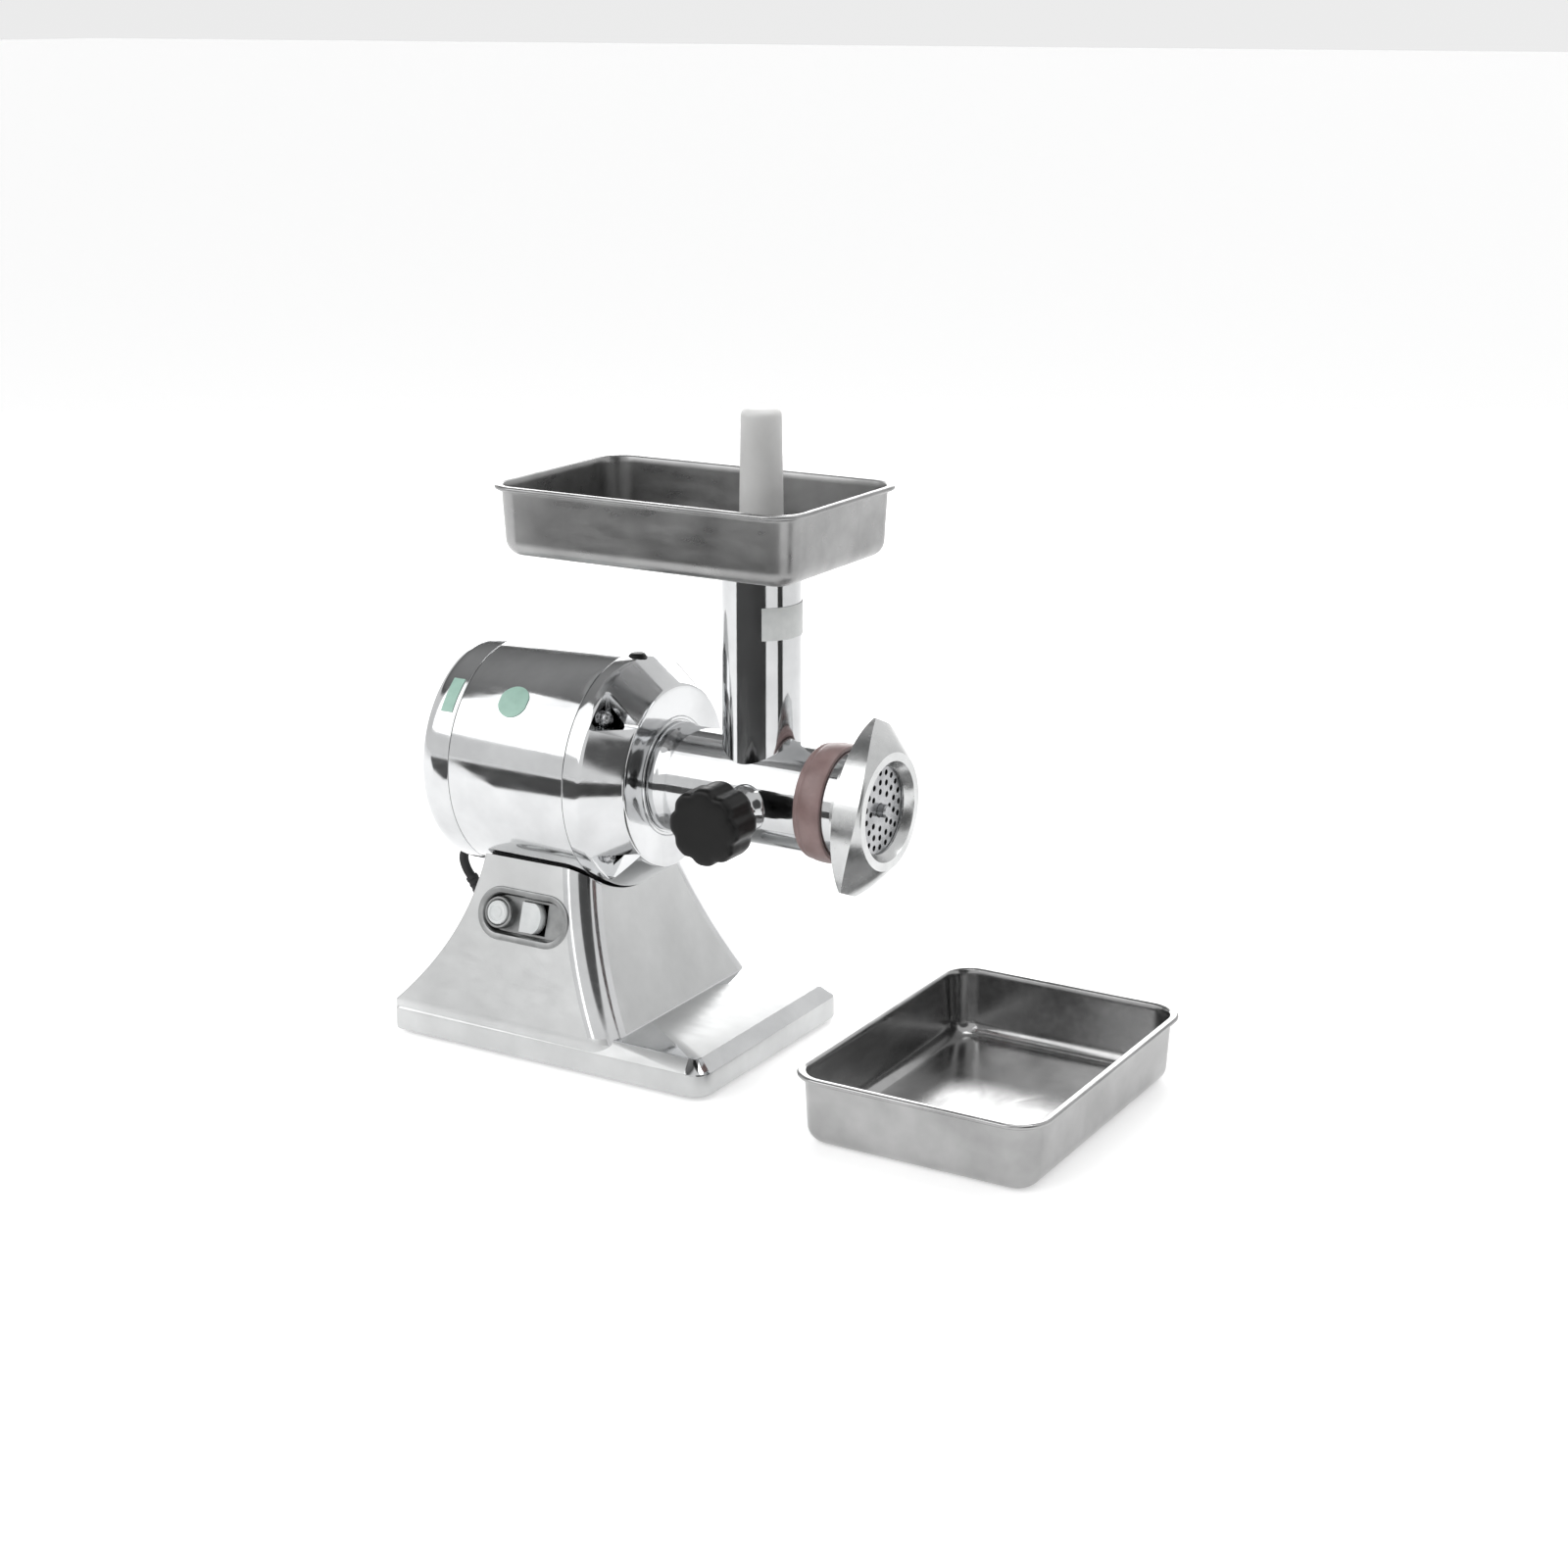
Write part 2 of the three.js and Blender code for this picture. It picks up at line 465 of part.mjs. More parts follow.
const screwAngles = [1, 3, 5, 7].map((k) => k * Math.PI / 4);
const SCREW = { radius: 71.5, headR: 6, pocketR: 8.5 };
const around = (geometry, angle) => geometry.translate(
  0, SCREW.radius * Math.cos(angle), SCREW.radius * Math.sin(angle));
const housingSkin = turned([
  [MOTOR_R, SHELL.frontSeam], [MOTOR_R, SHELL.shoulder], [SHELL.noseR, SHELL.nose], [18.3, SHELL.nose],
  [18.3, -77.5], [12.5, -77.5], [12.5, -79], [20.3, -79], [20.3, -87.3], [25, -87.3], [25, -79],
  [61.5, -79], [79.7, -103.5], [79.7, SHELL.frontSeam],
], 40).translate(0, 0, AXIS_Z);
const bosses = screwAngles.map((angle) => around(rodX(12, -106.4, -90, 0, AXIS_Z, 12), angle));
const layshaftBoss = rodX(10, -87.6, -78, 0, layshaftZ, 16);
const insideShell = rodX(MOTOR_R - 1, -115, SHELL.shoulder + 1, 0, AXIS_Z, 48);
const bossedHousing = join(housingSkin, layshaftBoss,
  ...bosses.map((boss) => common(boss, join(insideShell, turned([
    [0, SHELL.shoulder], [MOTOR_R - 1, SHELL.shoulder], [SHELL.noseR - 1, SHELL.nose], [0, SHELL.nose],
  ], 48).translate(0, 0, AXIS_Z)))));
add('gearbox_housing', cut(bossedHousing,
  ...screwAngles.map((angle) => around(rodX(SCREW.pocketR, -98, -60, 0, AXIS_Z, 14), angle)),
  ...screwAngles.map((angle) => around(rodX(3.3, -107, -97, 0, AXIS_Z, 10), angle)),
  rodX(GEAR.bore + GAP, -88, -79.6, 0, layshaftZ, 32),
  rodZ(6.9, AXIS_Z + 74, AXIS_Z + 92, -104, 0, 24)), polished);
screwAngles.forEach((angle, k) => add(`housing_screw_${k + 1}`, around(turned([
  [0, -105.5], [2.9, -105.5], [2.9, -97.7], [SCREW.headR, -97.7], [SCREW.headR, -94], [4.2, -92.2], [0, -91.6],
], 12).translate(0, 0, AXIS_Z), angle), steel));
add('vent_plug', upright([
  [0, AXIS_Z + 79.8], [6.5, AXIS_Z + 79.8], [6.5, AXIS_Z + 85.4], [5, AXIS_Z + 87], [0, AXIS_Z + 87.6],
], 24).translate(-104, 0, 0), phenolic);

// ---------------------------------------------------------------- grinding head
const KNOB = { x: 9, z: 200.5, bossR: 17, bossY: -58, y0: -95, y1: -62, r: 25.6, lobes: 8 };
const KEY = { halfWidth: 2, z0: -36.6, z1: -33.4, x0: 80.3 };
const headOutside = join(
  turned([
    [0, BARREL.rear], [40, BARREL.rear], [40, -66], [BARREL.outerR, -61], [BARREL.outerR, BARREL.front],
    [0, BARREL.front],
  ], 40).translate(0, 0, AXIS_Z),
  rodZ(NECK.outerR, AXIS_Z, NECK.top, 0, 0, 48),
  rodY(KNOB.bossR, KNOB.bossY, 0, KNOB.x, KNOB.z, 32));
const headCavity = turned([
  [0, BARREL.rear - 1], [15.3, BARREL.rear - 1], [15.3, -60], [BARREL.boreR, -60], [BARREL.boreR, BARREL.mouth],
  [BARREL.mouthR, BARREL.mouth], [BARREL.mouthR, BARREL.front + 1], [0, BARREL.front + 1],
], 40).translate(0, 0, AXIS_Z);
add('head_casting', cut(headOutside, headCavity,
  rodZ(NECK.innerR, AXIS_Z, NECK.top + 1, 0, 0, 48),
  rodY(4.3, KNOB.bossY - 1, -45, KNOB.x, KNOB.z, 20),
  boxBetween(KEY.x0 - GAP, BARREL.front + 1, -KEY.halfWidth - GAP, KEY.halfWidth + GAP,
    AXIS_Z + KEY.z0 - GAP, AXIS_Z - 30)), polished);
const lobed = new THREE.Shape(Array.from({ length: KNOB.lobes * 6 }, (_, k) => {
  const angle = 2 * Math.PI * k / (KNOB.lobes * 6);
  const r = KNOB.r + 2.2 * Math.cos(KNOB.lobes * angle);
  return new THREE.Vector2(r * Math.cos(angle), r * Math.sin(angle));
}));
const knobDepth = KNOB.y1 - KNOB.y0;
const lobedBody = new THREE.ExtrudeGeometry(lobed, {
  depth: knobDepth - 8, bevelEnabled: true, bevelThickness: 4, bevelSize: 3, bevelOffset: -3, bevelSegments: 1,
}).rotateX(Math.PI / 2).translate(KNOB.x, KNOB.y1 - 4, KNOB.z);
add('clamp_knob', cut(lobedBody, rodY(4.3, KNOB.y1 - 14, KNOB.y1 + 1, KNOB.x, KNOB.z, 20)), phenolic);
add('clamp_stud', rodY(4, KNOB.y1 - 13, -45.5, KNOB.x, KNOB.z, 20), steel);

const AUGER = { coreR: 12, flightR: 25, x0: -57.5, x1: 77.5, turns: 3.5, drive: DRIVE.half + GAP, pinR: 4.7 };
function augerFlight() {
  const steps = 42;
  const rings = Array.from({ length: steps + 1 }, (_, k) => {
    const t = k / steps;
    const x = AUGER.x0 + 5 + (AUGER.x1 - AUGER.x0 - 10) * (1.25 * t - 0.25 * t * t);
    const angle = 2 * Math.PI * AUGER.turns * t;
    return [[AUGER.coreR - 2, -3], [AUGER.flightR, -1.6], [AUGER.flightR, 1.6], [AUGER.coreR - 2, 3]]
      .map(([r, shift]) => new THREE.Vector3(x + shift, r * Math.cos(angle), r * Math.sin(angle)));
  });
  return loft(rings).translate(0, 0, AXIS_Z);
}
const auger = join(
  turned([
    [0, -72], [15, -72], [15, -59.2], [18, -57.4], [AUGER.coreR + 3, -50], [AUGER.coreR, 60], [14, AUGER.x1],
    [AUGER.pinR, AUGER.x1], [AUGER.pinR, 100], [3.6, 101], [0, 101],
  ], 24).translate(0, 0, AXIS_Z),
  boxBetween(AUGER.x1 - 1, 87, -5, 5, AXIS_Z - 5, AXIS_Z + 5), augerFlight());
add('auger', cut(auger, boxBetween(-75, DRIVE.front + 1, -AUGER.drive, AUGER.drive,
  AXIS_Z - AUGER.drive, AXIS_Z + AUGER.drive)), steel);
add('thrust_washer', ringX(18.4, 24, -59.6, -57.9), brass);

const KNIFE = { x0: 78.2, x1: 87.2, armHalf: 4.5, r: 33 };
const knifeArms = [0, 1].map((k) => boxBetween(KNIFE.x0 + 2.5, KNIFE.x1, -KNIFE.armHalf, KNIFE.armHalf,
  -KNIFE.r, KNIFE.r).rotateX(k * Math.PI / 2).translate(0, 0, AXIS_Z));
add('cutting_knife', cut(join(rodX(11, KNIFE.x0, KNIFE.x1), ...knifeArms),
  boxBetween(70, 90, -5 - GAP, 5 + GAP, AXIS_Z - 5 - GAP, AXIS_Z + 5 + GAP)), steel);

const GRID = { x0: 87.6, x1: 95, r: 35, holeR: 2.2, rings: [[13.2, 8], [19.8, 12], [26.6, 18]] };
const gridShape = new THREE.Shape().absarc(0, 0, GRID.r, 0, Math.PI * 2, false);
GRID.rings.forEach(([radius, count], row) => {
  for (let k = 0; k < count; k += 1) {
    const angle = 2 * Math.PI * (k + row / 2) / count;
    gridShape.holes.push(new THREE.Path(Array.from({ length: 6 }, (_, i) => new THREE.Vector2(
      radius * Math.cos(angle) + GRID.holeR * Math.cos(-i * Math.PI / 3),
      radius * Math.sin(angle) + GRID.holeR * Math.sin(-i * Math.PI / 3)))));
  }
});
gridShape.holes.push(new THREE.Path().absarc(0, 0, AUGER.pinR + 0.5, 0, Math.PI * 2, true));
add('perforated_plate', cut(
  alongX(new THREE.ExtrudeGeometry(gridShape, { depth: GRID.x1 - GRID.x0, bevelEnabled: false, curveSegments: 24 }))
    .translate(GRID.x0, 0, AXIS_Z),
  boxBetween(GRID.x0 - 1, GRID.x1 + 1, -KEY.halfWidth - GAP, KEY.halfWidth + GAP,
    AXIS_Z - GRID.r - 1, AXIS_Z + KEY.z1 + GAP)), steel);
add('locating_key', boxBetween(KEY.x0, BARREL.front - GAP, -KEY.halfWidth, KEY.halfWidth,
  AXIS_Z + KEY.z0, AXIS_Z + KEY.z1), steel);

// The ring nut: an eye-shaped flange swept back towards two lugs, bored for the barrel.
const NUT = { rear: 78, lugRear: 82, front: 103, boreR: 38.7, lipX: GRID.x1 + GAP, tip: 61.5, tipHalf: 11, waist: 44,
  lean: THREE.MathUtils.degToRad(67), tilt: 0.94 };
function eyeShape() {
  const offset = (NUT.tip ** 2 + NUT.tipHalf ** 2 - NUT.waist ** 2) / (2 * (NUT.waist - NUT.tipHalf));
  const arcR = offset + NUT.waist;
  const reach = Math.asin(NUT.tip / arcR);
  const points = [1, -1].flatMap((side) => Array.from({ length: 11 }, (_, k) => {
    const angle = reach * (1 - k / 5);
    return new THREE.Vector2(side * arcR * Math.sin(angle), side * (arcR * Math.cos(angle) - offset));
  }));
  return new THREE.Shape(points.map((q) => q.rotateAround(new THREE.Vector2(0, 0), NUT.lean)));
}
const coneX = (x, r) => x - NUT.tilt * (r - 42);
const nutSweep = turned([
  [0, NUT.rear], [41.5, NUT.rear], [41.5, NUT.lugRear], [59, NUT.lugRear], [64, coneX(NUT.front, 64)],
  [42, NUT.front], [0, NUT.front],
], 48).translate(0, 0, AXIS_Z);
add('ring_nut', cut(
  common(extrudeX(eyeShape(), 50, 110).translate(0, 0, AXIS_Z), nutSweep),
  turned([
    [0, NUT.rear - 1], [NUT.boreR, NUT.rear - 1], [NUT.boreR, NUT.lipX], [31, NUT.lipX], [31, 97.5],
    [35.4, NUT.front + 0.2], [0, NUT.front + 1],
  ], 48).translate(0, 0, AXIS_Z)), polished);
add('guard_ring', turned([
  [38.7, 48], [39.8, 48], [41, 49.6], [40.6, 51.6], [41.9, 53.5], [42.5, 60], [41.4, 69.5], [38.7, 69.5],
], 36).translate(0, 0, AXIS_Z), mauve);

// ---------------------------------------------------------------- tray, pusher and catch pan
// A pressed sheet pan: outside up, over the rolled rim, inside down.
function pressedPan(size, sheet, bottomR, cornerR) {
  const at = (inset, height) => roundedRing({
    x0: size.rear + inset, x1: size.front - inset, halfWidth: size.halfWidth - inset,
    rearR: Math.max(2, cornerR - inset), frontR: Math.max(2, cornerR - inset), height,
  });
  const RIM = 5;
  const outside = [0, 1, 2, 3].map((k) => {
    const angle = k * Math.PI / 6;
    return [RIM + 2 + bottomR * (1 - Math.sin(angle)), size.bottom + bottomR * (1 - Math.cos(angle))];
  });
  const inside = [3, 2, 1, 0].map((k) => {
    const angle = k * Math.PI / 6;
    const r = bottomR - sheet;
    return [RIM + 2 + sheet + r * (1 - Math.sin(angle)), size.bottom + sheet + r * (1 - Math.cos(angle))];
  });
  return loft([
    ...outside.map(([inset, z]) => at(inset, z)),
    at(RIM, size.top - 4), at(0.6, size.top - 3.6), at(0, size.top - 1.6), at(1, size.top),
    at(RIM + 0.6, size.top), at(RIM + sheet + 0.4, size.top - 2.4),
    ...inside.map(([inset, z]) => at(inset, z)),
  ]);
}
const SPOUT = { outerR: 25, innerR: 23.8, depth: 20 };
add('feed_tray', cut(
  join(pressedPan(TRAY, 1.5, 12, RIM_CORNER_R), rodZ(SPOUT.outerR, TRAY.bottom - SPOUT.depth, TRAY.bottom + 1, 0, 0, 48)),
  rodZ(SPOUT.innerR, TRAY.bottom - SPOUT.depth - 1, TRAY.bottom + 6, 0, 0, 48)), stainless);
add('catch_pan', pressedPan({ ...PAN, bottom: 0 }, 1.5, 12, RIM_CORNER_R), stainless);

const PUSHER = { foot: 238, footR: 22.6, handleR: 14.75, top: 473 };
add('pusher', upright([
  [0, PUSHER.foot], [PUSHER.footR - 1, PUSHER.foot], [PUSHER.footR, PUSHER.foot + 1],
  [PUSHER.footR, PUSHER.foot + 10], [PUSHER.handleR, PUSHER.foot + 16], [PUSHER.handleR, PUSHER.top - 8],
  [PUSHER.handleR - 1.3, PUSHER.top - 4], [PUSHER.handleR - 5, PUSHER.top - 1], [0, PUSHER.top],
], 28), milky);

// ---------------------------------------------------------------- blank stickers
const neckLabelShape = new THREE.Shape();
neckLabelShape.absarc(0, 0, NECK.outerR + 0.5, -1.03, 1.03, false);
neckLabelShape.absarc(0, 0, NECK.outerR + 0.2, 1.03, -1.03, true);
add('neck_label', new THREE.ExtrudeGeometry(neckLabelShape,
  { depth: 23, bevelEnabled: false, curveSegments: 14 }).translate(0, 0, 317), paleGrey);
add('shell_label', common(
  ringX(MOTOR_R + 0.2, MOTOR_R + 0.5, -195, -155, 0, AXIS_Z, 48),
  rodX(12.5, 0, 120, 0, 0, 32).rotateY(-Math.PI / 2).rotateX(THREE.MathUtils.degToRad(52))
    .translate(-175, 0, AXIS_Z)), paleGrey);

// ---------------------------------------------------------------- the object, centred on its box
const grinder = new THREE.Group();
group.position.x = -centreX;
grinder.add(group);
export default grinder;
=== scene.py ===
"""Electric meat grinder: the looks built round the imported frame.

Shapes are worked out in millimetres with x = 0 on the feed neck's axis, then moved into the frame by
place(). Most pieces are grids or turned profiles computed as whole numpy arrays.
"""
import math

import bmesh
import bpy
import numpy as np
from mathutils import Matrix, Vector


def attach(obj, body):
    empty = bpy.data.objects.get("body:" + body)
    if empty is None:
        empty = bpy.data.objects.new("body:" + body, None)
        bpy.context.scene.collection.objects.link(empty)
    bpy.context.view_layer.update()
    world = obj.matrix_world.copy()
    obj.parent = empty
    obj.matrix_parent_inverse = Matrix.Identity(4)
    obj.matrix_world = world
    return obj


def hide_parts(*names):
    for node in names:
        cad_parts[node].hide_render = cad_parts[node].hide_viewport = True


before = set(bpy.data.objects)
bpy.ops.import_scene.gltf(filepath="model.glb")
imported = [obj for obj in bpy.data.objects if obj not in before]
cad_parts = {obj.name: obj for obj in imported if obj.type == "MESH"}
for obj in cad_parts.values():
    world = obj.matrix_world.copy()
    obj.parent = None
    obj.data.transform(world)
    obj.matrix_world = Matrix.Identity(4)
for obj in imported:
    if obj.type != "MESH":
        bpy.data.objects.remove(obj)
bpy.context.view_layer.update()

# ------------------------------------------------------------------ driving sizes, millimetres
AXIS_Z = 202.3
MOTOR_R = 85.0
BASE_REAR, BASE_FRONT, BASE_HALF = -261.0, 10.0, 98.0
PAN_REAR, PAN_FRONT, PAN_HALF, PAN_TOP = 92.0, 278.5, 126.0, 50.8
TRAY_REAR, TRAY_FRONT, TRAY_HALF, TRAY_BOTTOM, TRAY_TOP = -179.0, 70.5, 81.0, 366.0, 416.4
CAP_SEAM, FRONT_SEAM, SHOULDER, NOSE = -213.0, -113.0, -100.0, -73.0
FRAME_SHIFT = -(BASE_REAR + PAN_FRONT) / 2
CORD_R = 3.6
TURN = 2 * np.pi


def place(points):
    """Millimetres about the neck's axis to metres in the frame."""
    points = np.asarray(points, dtype=float)
    return (points + np.array([FRAME_SHIFT, 0.0, 0.0])) / 1000


# ------------------------------------------------------------------ camera
CAMERA_AZ, CAMERA_EL = math.radians(30.67), math.radians(16.36)
camera_data = bpy.data.cameras.new("camera")
camera_data.lens = 61.27
camera_data.sensor_width = 36
camera = bpy.data.objects.new("camera", camera_data)
camera.location = place([936.0, -1548.0, 738.0])
camera.rotation_euler = (math.pi / 2 - CAMERA_EL, 0, CAMERA_AZ)
bpy.context.scene.collection.objects.link(camera)
bpy.context.scene.camera = camera
bpy.context.scene.view_settings.view_transform = "Standard"


# ------------------------------------------------------------------ meshes from arrays
def linked(name, mesh):
    """An object of a mesh, put in the scene."""
    obj = bpy.data.objects.new(name, mesh)
    bpy.context.scene.collection.objects.link(obj)
    return obj


def loose(name, shape):
    """A closed solid from points in millimetres and faces: doubles merged, every face turned outwards."""
    verts, faces = shape
    mesh = bpy.data.meshes.new(name)
    mesh.from_pydata(place(verts).tolist(), [], [tuple(int(i) for i in face) for face in faces])
    work = bmesh.new()
    work.from_mesh(mesh)
    bmesh.ops.remove_doubles(work, verts=work.verts, dist=1e-6)
    bmesh.ops.recalc_face_normals(work, faces=work.faces)
    work.to_mesh(mesh)
    work.free()
    return linked(name, mesh)


def piece(name, shape, material, body, stands_for=(), sharp=35.0):
    """A finished piece straight from its points and faces."""
    return finished(loose(name, shape), material, body, stands_for, sharp)


def finished(obj, material, body, stands_for=(), sharp=35.0):
    """Gives a piece its material, its body and CAD nodes, and smooth shading that breaks at edges past
    the sharp angle."""
    obj.data.materials.clear()
    obj.data.materials.append(material)
    obj.data.shade_smooth()
    obj.data.set_sharp_from_angle(angle=math.radians(sharp))
    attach(obj, body)
    if stands_for:
        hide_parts(*stands_for)
    return obj


def grid_faces(rows, cols, close_rows=False, close_cols=True):
    """Quads between neighbouring rows and columns of a rows by cols grid, wrapped where asked."""
    r = np.arange(rows if close_rows else rows - 1)[:, None]
    c = np.arange(cols if close_cols else cols - 1)[None, :]
    r2, c2 = (r + 1) % rows, (c + 1) % cols
    quads = np.stack([r * cols + c, r * cols + c2, r2 * cols + c2, r2 * cols + c], -1)
    return quads.reshape(-1, 4)


def skin(rings, capped=True, wrapped=False):
    """Points and faces of a skin through rings (rows, cols, 3), each end closed by a fan to its middle."""
    rings = np.asarray(rings, dtype=float)
    rows, cols = rings.shape[:2]
    verts = rings.reshape(-1, 3)
    faces = [tuple(q) for q in grid_faces(rows, cols, close_rows=wrapped)]
    if capped:
        verts = np.vstack([verts, rings[0].mean(0), rings[-1].mean(0)])
        a = np.arange(cols)
        b = (a + 1) % cols
        first = np.stack([np.full(cols, rows * cols), b, a], -1)
        last = np.stack([np.full(cols, rows * cols + 1), (rows - 1) * cols + a, (rows - 1) * cols + b], -1)
        faces += [tuple(t) for t in np.vstack([first, last])]
    return verts, faces


def softened(points, radius, steps=4, closed=True):
    """A polyline with every corner replaced by a parabola that starts and ends radius away from it."""
    p = np.asarray(points, dtype=float)
    radius = np.broadcast_to(np.asarray(radius, dtype=float), len(p))[:, None]
    back, ahead = np.roll(p, 1, 0) - p, np.roll(p, -1, 0) - p
    back_len = np.linalg.norm(back, axis=1, keepdims=True)
    ahead_len = np.linalg.norm(ahead, axis=1, keepdims=True)
    start = p + back / back_len * np.minimum(radius, 0.48 * back_len)
    end = p + ahead / ahead_len * np.minimum(radius, 0.48 * ahead_len)
    t = np.linspace(0, 1, steps + 1)[None, :, None]
    blend = (1 - t) ** 2 * start[:, None] + 2 * t * (1 - t) * p[:, None] + t ** 2 * end[:, None]
    if closed:
        return blend.reshape(-1, p.shape[1])
    inner = blend[1:-1].reshape(-1, p.shape[1])
    return np.vstack([p[:1], inner, p[-1:]])


def turned(profile, axis="x", centre=(0, 0, AXIS_Z), segments=128, outline=None):
    """A profile of [radius, distance along the axis] turned once round the axis: the point at angle a is
    radius times cos a across, the distance along, and radius times sin a up. An outline scales the radius
    by its own value at each angle. A profile that starts and ends on the axis gets its poles closed."""
    profile = np.asarray(profile, dtype=float)
    a = np.linspace(0, TURN, segments, endpoint=False)
    shape = np.ones(segments) if outline is None else outline(a)
    r = profile[:, 0][:, None] * shape[None, :]
    along = np.broadcast_to(profile[:, 1][:, None], r.shape)
    local = {"x": (along, r * np.cos(a), r * np.sin(a)), "y": (r * np.cos(a), along, r * np.sin(a)),
             "z": (r * np.cos(a), r * np.sin(a), along)}[axis]
    rings = np.stack(local, -1) + np.asarray(centre, dtype=float)
    poled = profile[0, 0] < 1e-6 and profile[-1, 0] < 1e-6
    if poled:
        return skin(rings[1:-1])
    return skin(rings, capped=False, wrapped=True)


def rod(radius, start, end, axis="x", centre=(0, 0, AXIS_Z), segments=48):
    """A plain round rod from start to end along the axis."""
    return turned([[0, start], [radius, start], [radius, end], [0, end]], axis, centre, segments)


def block(x0, x1, y0, y1, z0, z1):
    """The eight corners and six sides of a box."""
    x, y, z = np.meshgrid([x0, x1], [y0, y1], [z0, z1], indexing="ij")
    verts = np.stack([x, y, z], -1).reshape(-1, 3)
    faces = [(0, 1, 3, 2), (4, 6, 7, 5), (0, 4, 5, 1), (2, 3, 7, 6), (0, 2, 6, 4), (1, 5, 7, 3)]
    return verts, faces


def merged(*shapes):
    """Several closed shapes as one set of points and faces."""
    verts, faces, start = [], [], 0
    for v, f in shapes:
        verts.append(np.asarray(v, dtype=float))
        faces += [tuple(int(i) + start for i in face) for face in f]
        start += len(v)
    return np.vstack(verts), faces


def carved(target, *steps):
    """Applies boolean steps (operation, helper solid) one after another and drops the helpers."""
    for operation, tool in steps:
        modifier = target.modifiers.new("boolean", "BOOLEAN")
        modifier.operation = operation
        modifier.object = tool
        modifier.solver = "EXACT"
    graph = bpy.context.evaluated_depsgraph_get()
    baked = bpy.data.meshes.new_from_object(target.evaluated_get(graph))
    target.modifiers.clear()
    target.data = baked
    for _, tool in steps:
        bpy.data.objects.remove(tool)
    return target


def rounded_edges(obj, width, segments=3, angle=30.0):
    """A live bevel of the given width in mm on the edges sharper than the angle."""
    modifier = obj.modifiers.new("edges", "BEVEL")
    modifier.width = width / 1000
    modifier.segments = segments
    modifier.limit_method = "ANGLE"
    modifier.angle_limit = math.radians(angle)


def level_loop(x0, x1, half, rear_r, front_r, bead=0.0, steps=12):
    """A level rectangle with round corners: each corner's centre plus its radius times (cos, sin) over a
    quarter turn, with the arcs of the front corners standing proud by the bead."""
    a = np.linspace(0, np.pi / 2, steps)[None, :] + np.arange(4)[:, None] * np.pi / 2
    r = np.array([front_r, rear_r, rear_r, front_r], dtype=float)[:, None]
    proud = np.array([bead, 0, 0, bead])[:, None]
    cx = np.array([x1 - front_r, x0 + rear_r, x0 + rear_r, x1 - front_r])[:, None]
    cy = np.array([half - front_r, half - rear_r, rear_r - half, front_r - half])[:, None]
    return np.stack([cx + (r + proud) * np.cos(a), cy + (r + proud) * np.sin(a)], -1).reshape(-1, 2)


def at_height(loop, z):
    """A level loop lifted to a height, or to a height worked out from its x."""
    height = z(loop[:, 0]) if callable(z) else np.full(len(loop), float(z))
    return np.column_stack([loop, height])


# ------------------------------------------------------------------ materials
def linear(hex_colour):
    """An sRGB hex colour as linear red, green, blue and alpha."""
    srgb = np.array([int(hex_colour[i:i + 2], 16) for i in (1, 3, 5)]) / 255
    value = np.where(srgb <= 0.04045, srgb / 12.92, ((srgb + 0.055) / 1.055) ** 2.4)
    return (*value.tolist(), 1.0)


def node(tree, kind, settings=None, links=None, values=None):
    """Adds a node, sets its properties and socket values, and links its inputs."""
    new = tree.nodes.new(kind)
    for key, value in (settings or {}).items():
        setattr(new, key, value)
    for key, value in (values or {}).items():
        new.inputs[key].default_value = value
    for key, source in (links or {}).items():
        tree.links.new(source, new.inputs[key])
    return new


def ramp(tree, source, stops):
    """A colour ramp with the given (position, colour) stops."""
    new = node(tree, "ShaderNodeValToRGB", links={"Fac": source})
    elements = new.color_ramp.elements
    while len(elements) < len(stops):
        elements.new(0.5)
    for element, (position, colour) in zip(elements, stops):
        element.position = position
        element.color = colour
    return new.outputs["Color"]


def grey(level):
    """An opaque grey of the given linear level."""
    return (level, level, level, 1.0)


def surface(name, light, dark, shader, rough, grain_mm, stretch, bump, cloud_mm):
    """A material whose colour drifts between two tones over cloud_mm, whose roughness follows a finer
    pattern, and whose bump is a grain of grain_mm stretched along the given directions."""
    material = bpy.data.materials.new(name)
    material.use_nodes = True
    tree = material.node_tree
    tree.nodes.clear()
    where = node(tree, "ShaderNodeTexCoord").outputs["Object"]
    lay = node(tree, "ShaderNodeMapping", links={"Vector": where},
               values={"Scale": stretch}).outputs["Vector"]
    cloud = node(tree, "ShaderNodeTexNoise", links={"Vector": where},
                 values={"Scale": 1000 / cloud_mm, "Detail": 4.0, "Roughness": 0.55}).outputs["Fac"]
    grain = node(tree, "ShaderNodeTexNoise", links={"Vector": lay},
                 values={"Scale": 1000 / grain_mm, "Detail": 3.0, "Roughness": 0.6}).outputs["Fac"]
    smear = node(tree, "ShaderNodeTexNoise", links={"Vector": lay},
                 values={"Scale": 1000 / (grain_mm * 12), "Detail": 3.0}).outputs["Fac"]
    colour = ramp(tree, cloud, [(0.35, linear(dark)), (0.65, linear(light))])
    roughness = node(tree, "ShaderNodeMapRange", links={"Value": smear},
                     values={"From Min": 0.3, "From Max": 0.7, "To Min": rough[0], "To Max": rough[1]})
    relief = node(tree, "ShaderNodeBump", links={"Height": grain},
                  values={"Strength": bump, "Distance": grain_mm / 1000})
    links = {"Base Color": colour, "Roughness": roughness.outputs["Result"],
             "Normal": relief.outputs["Normal"]}
    bsdf = node(tree, "ShaderNodeBsdfPrincipled", links=links, values=shader)
    node(tree, "ShaderNodeOutputMaterial", links={"Surface": bsdf.outputs["BSDF"]})
    return material


METAL = {"Metallic": 1.0}
PLAIN = {"Metallic": 0.0}
EVEN = (1, 1, 1)
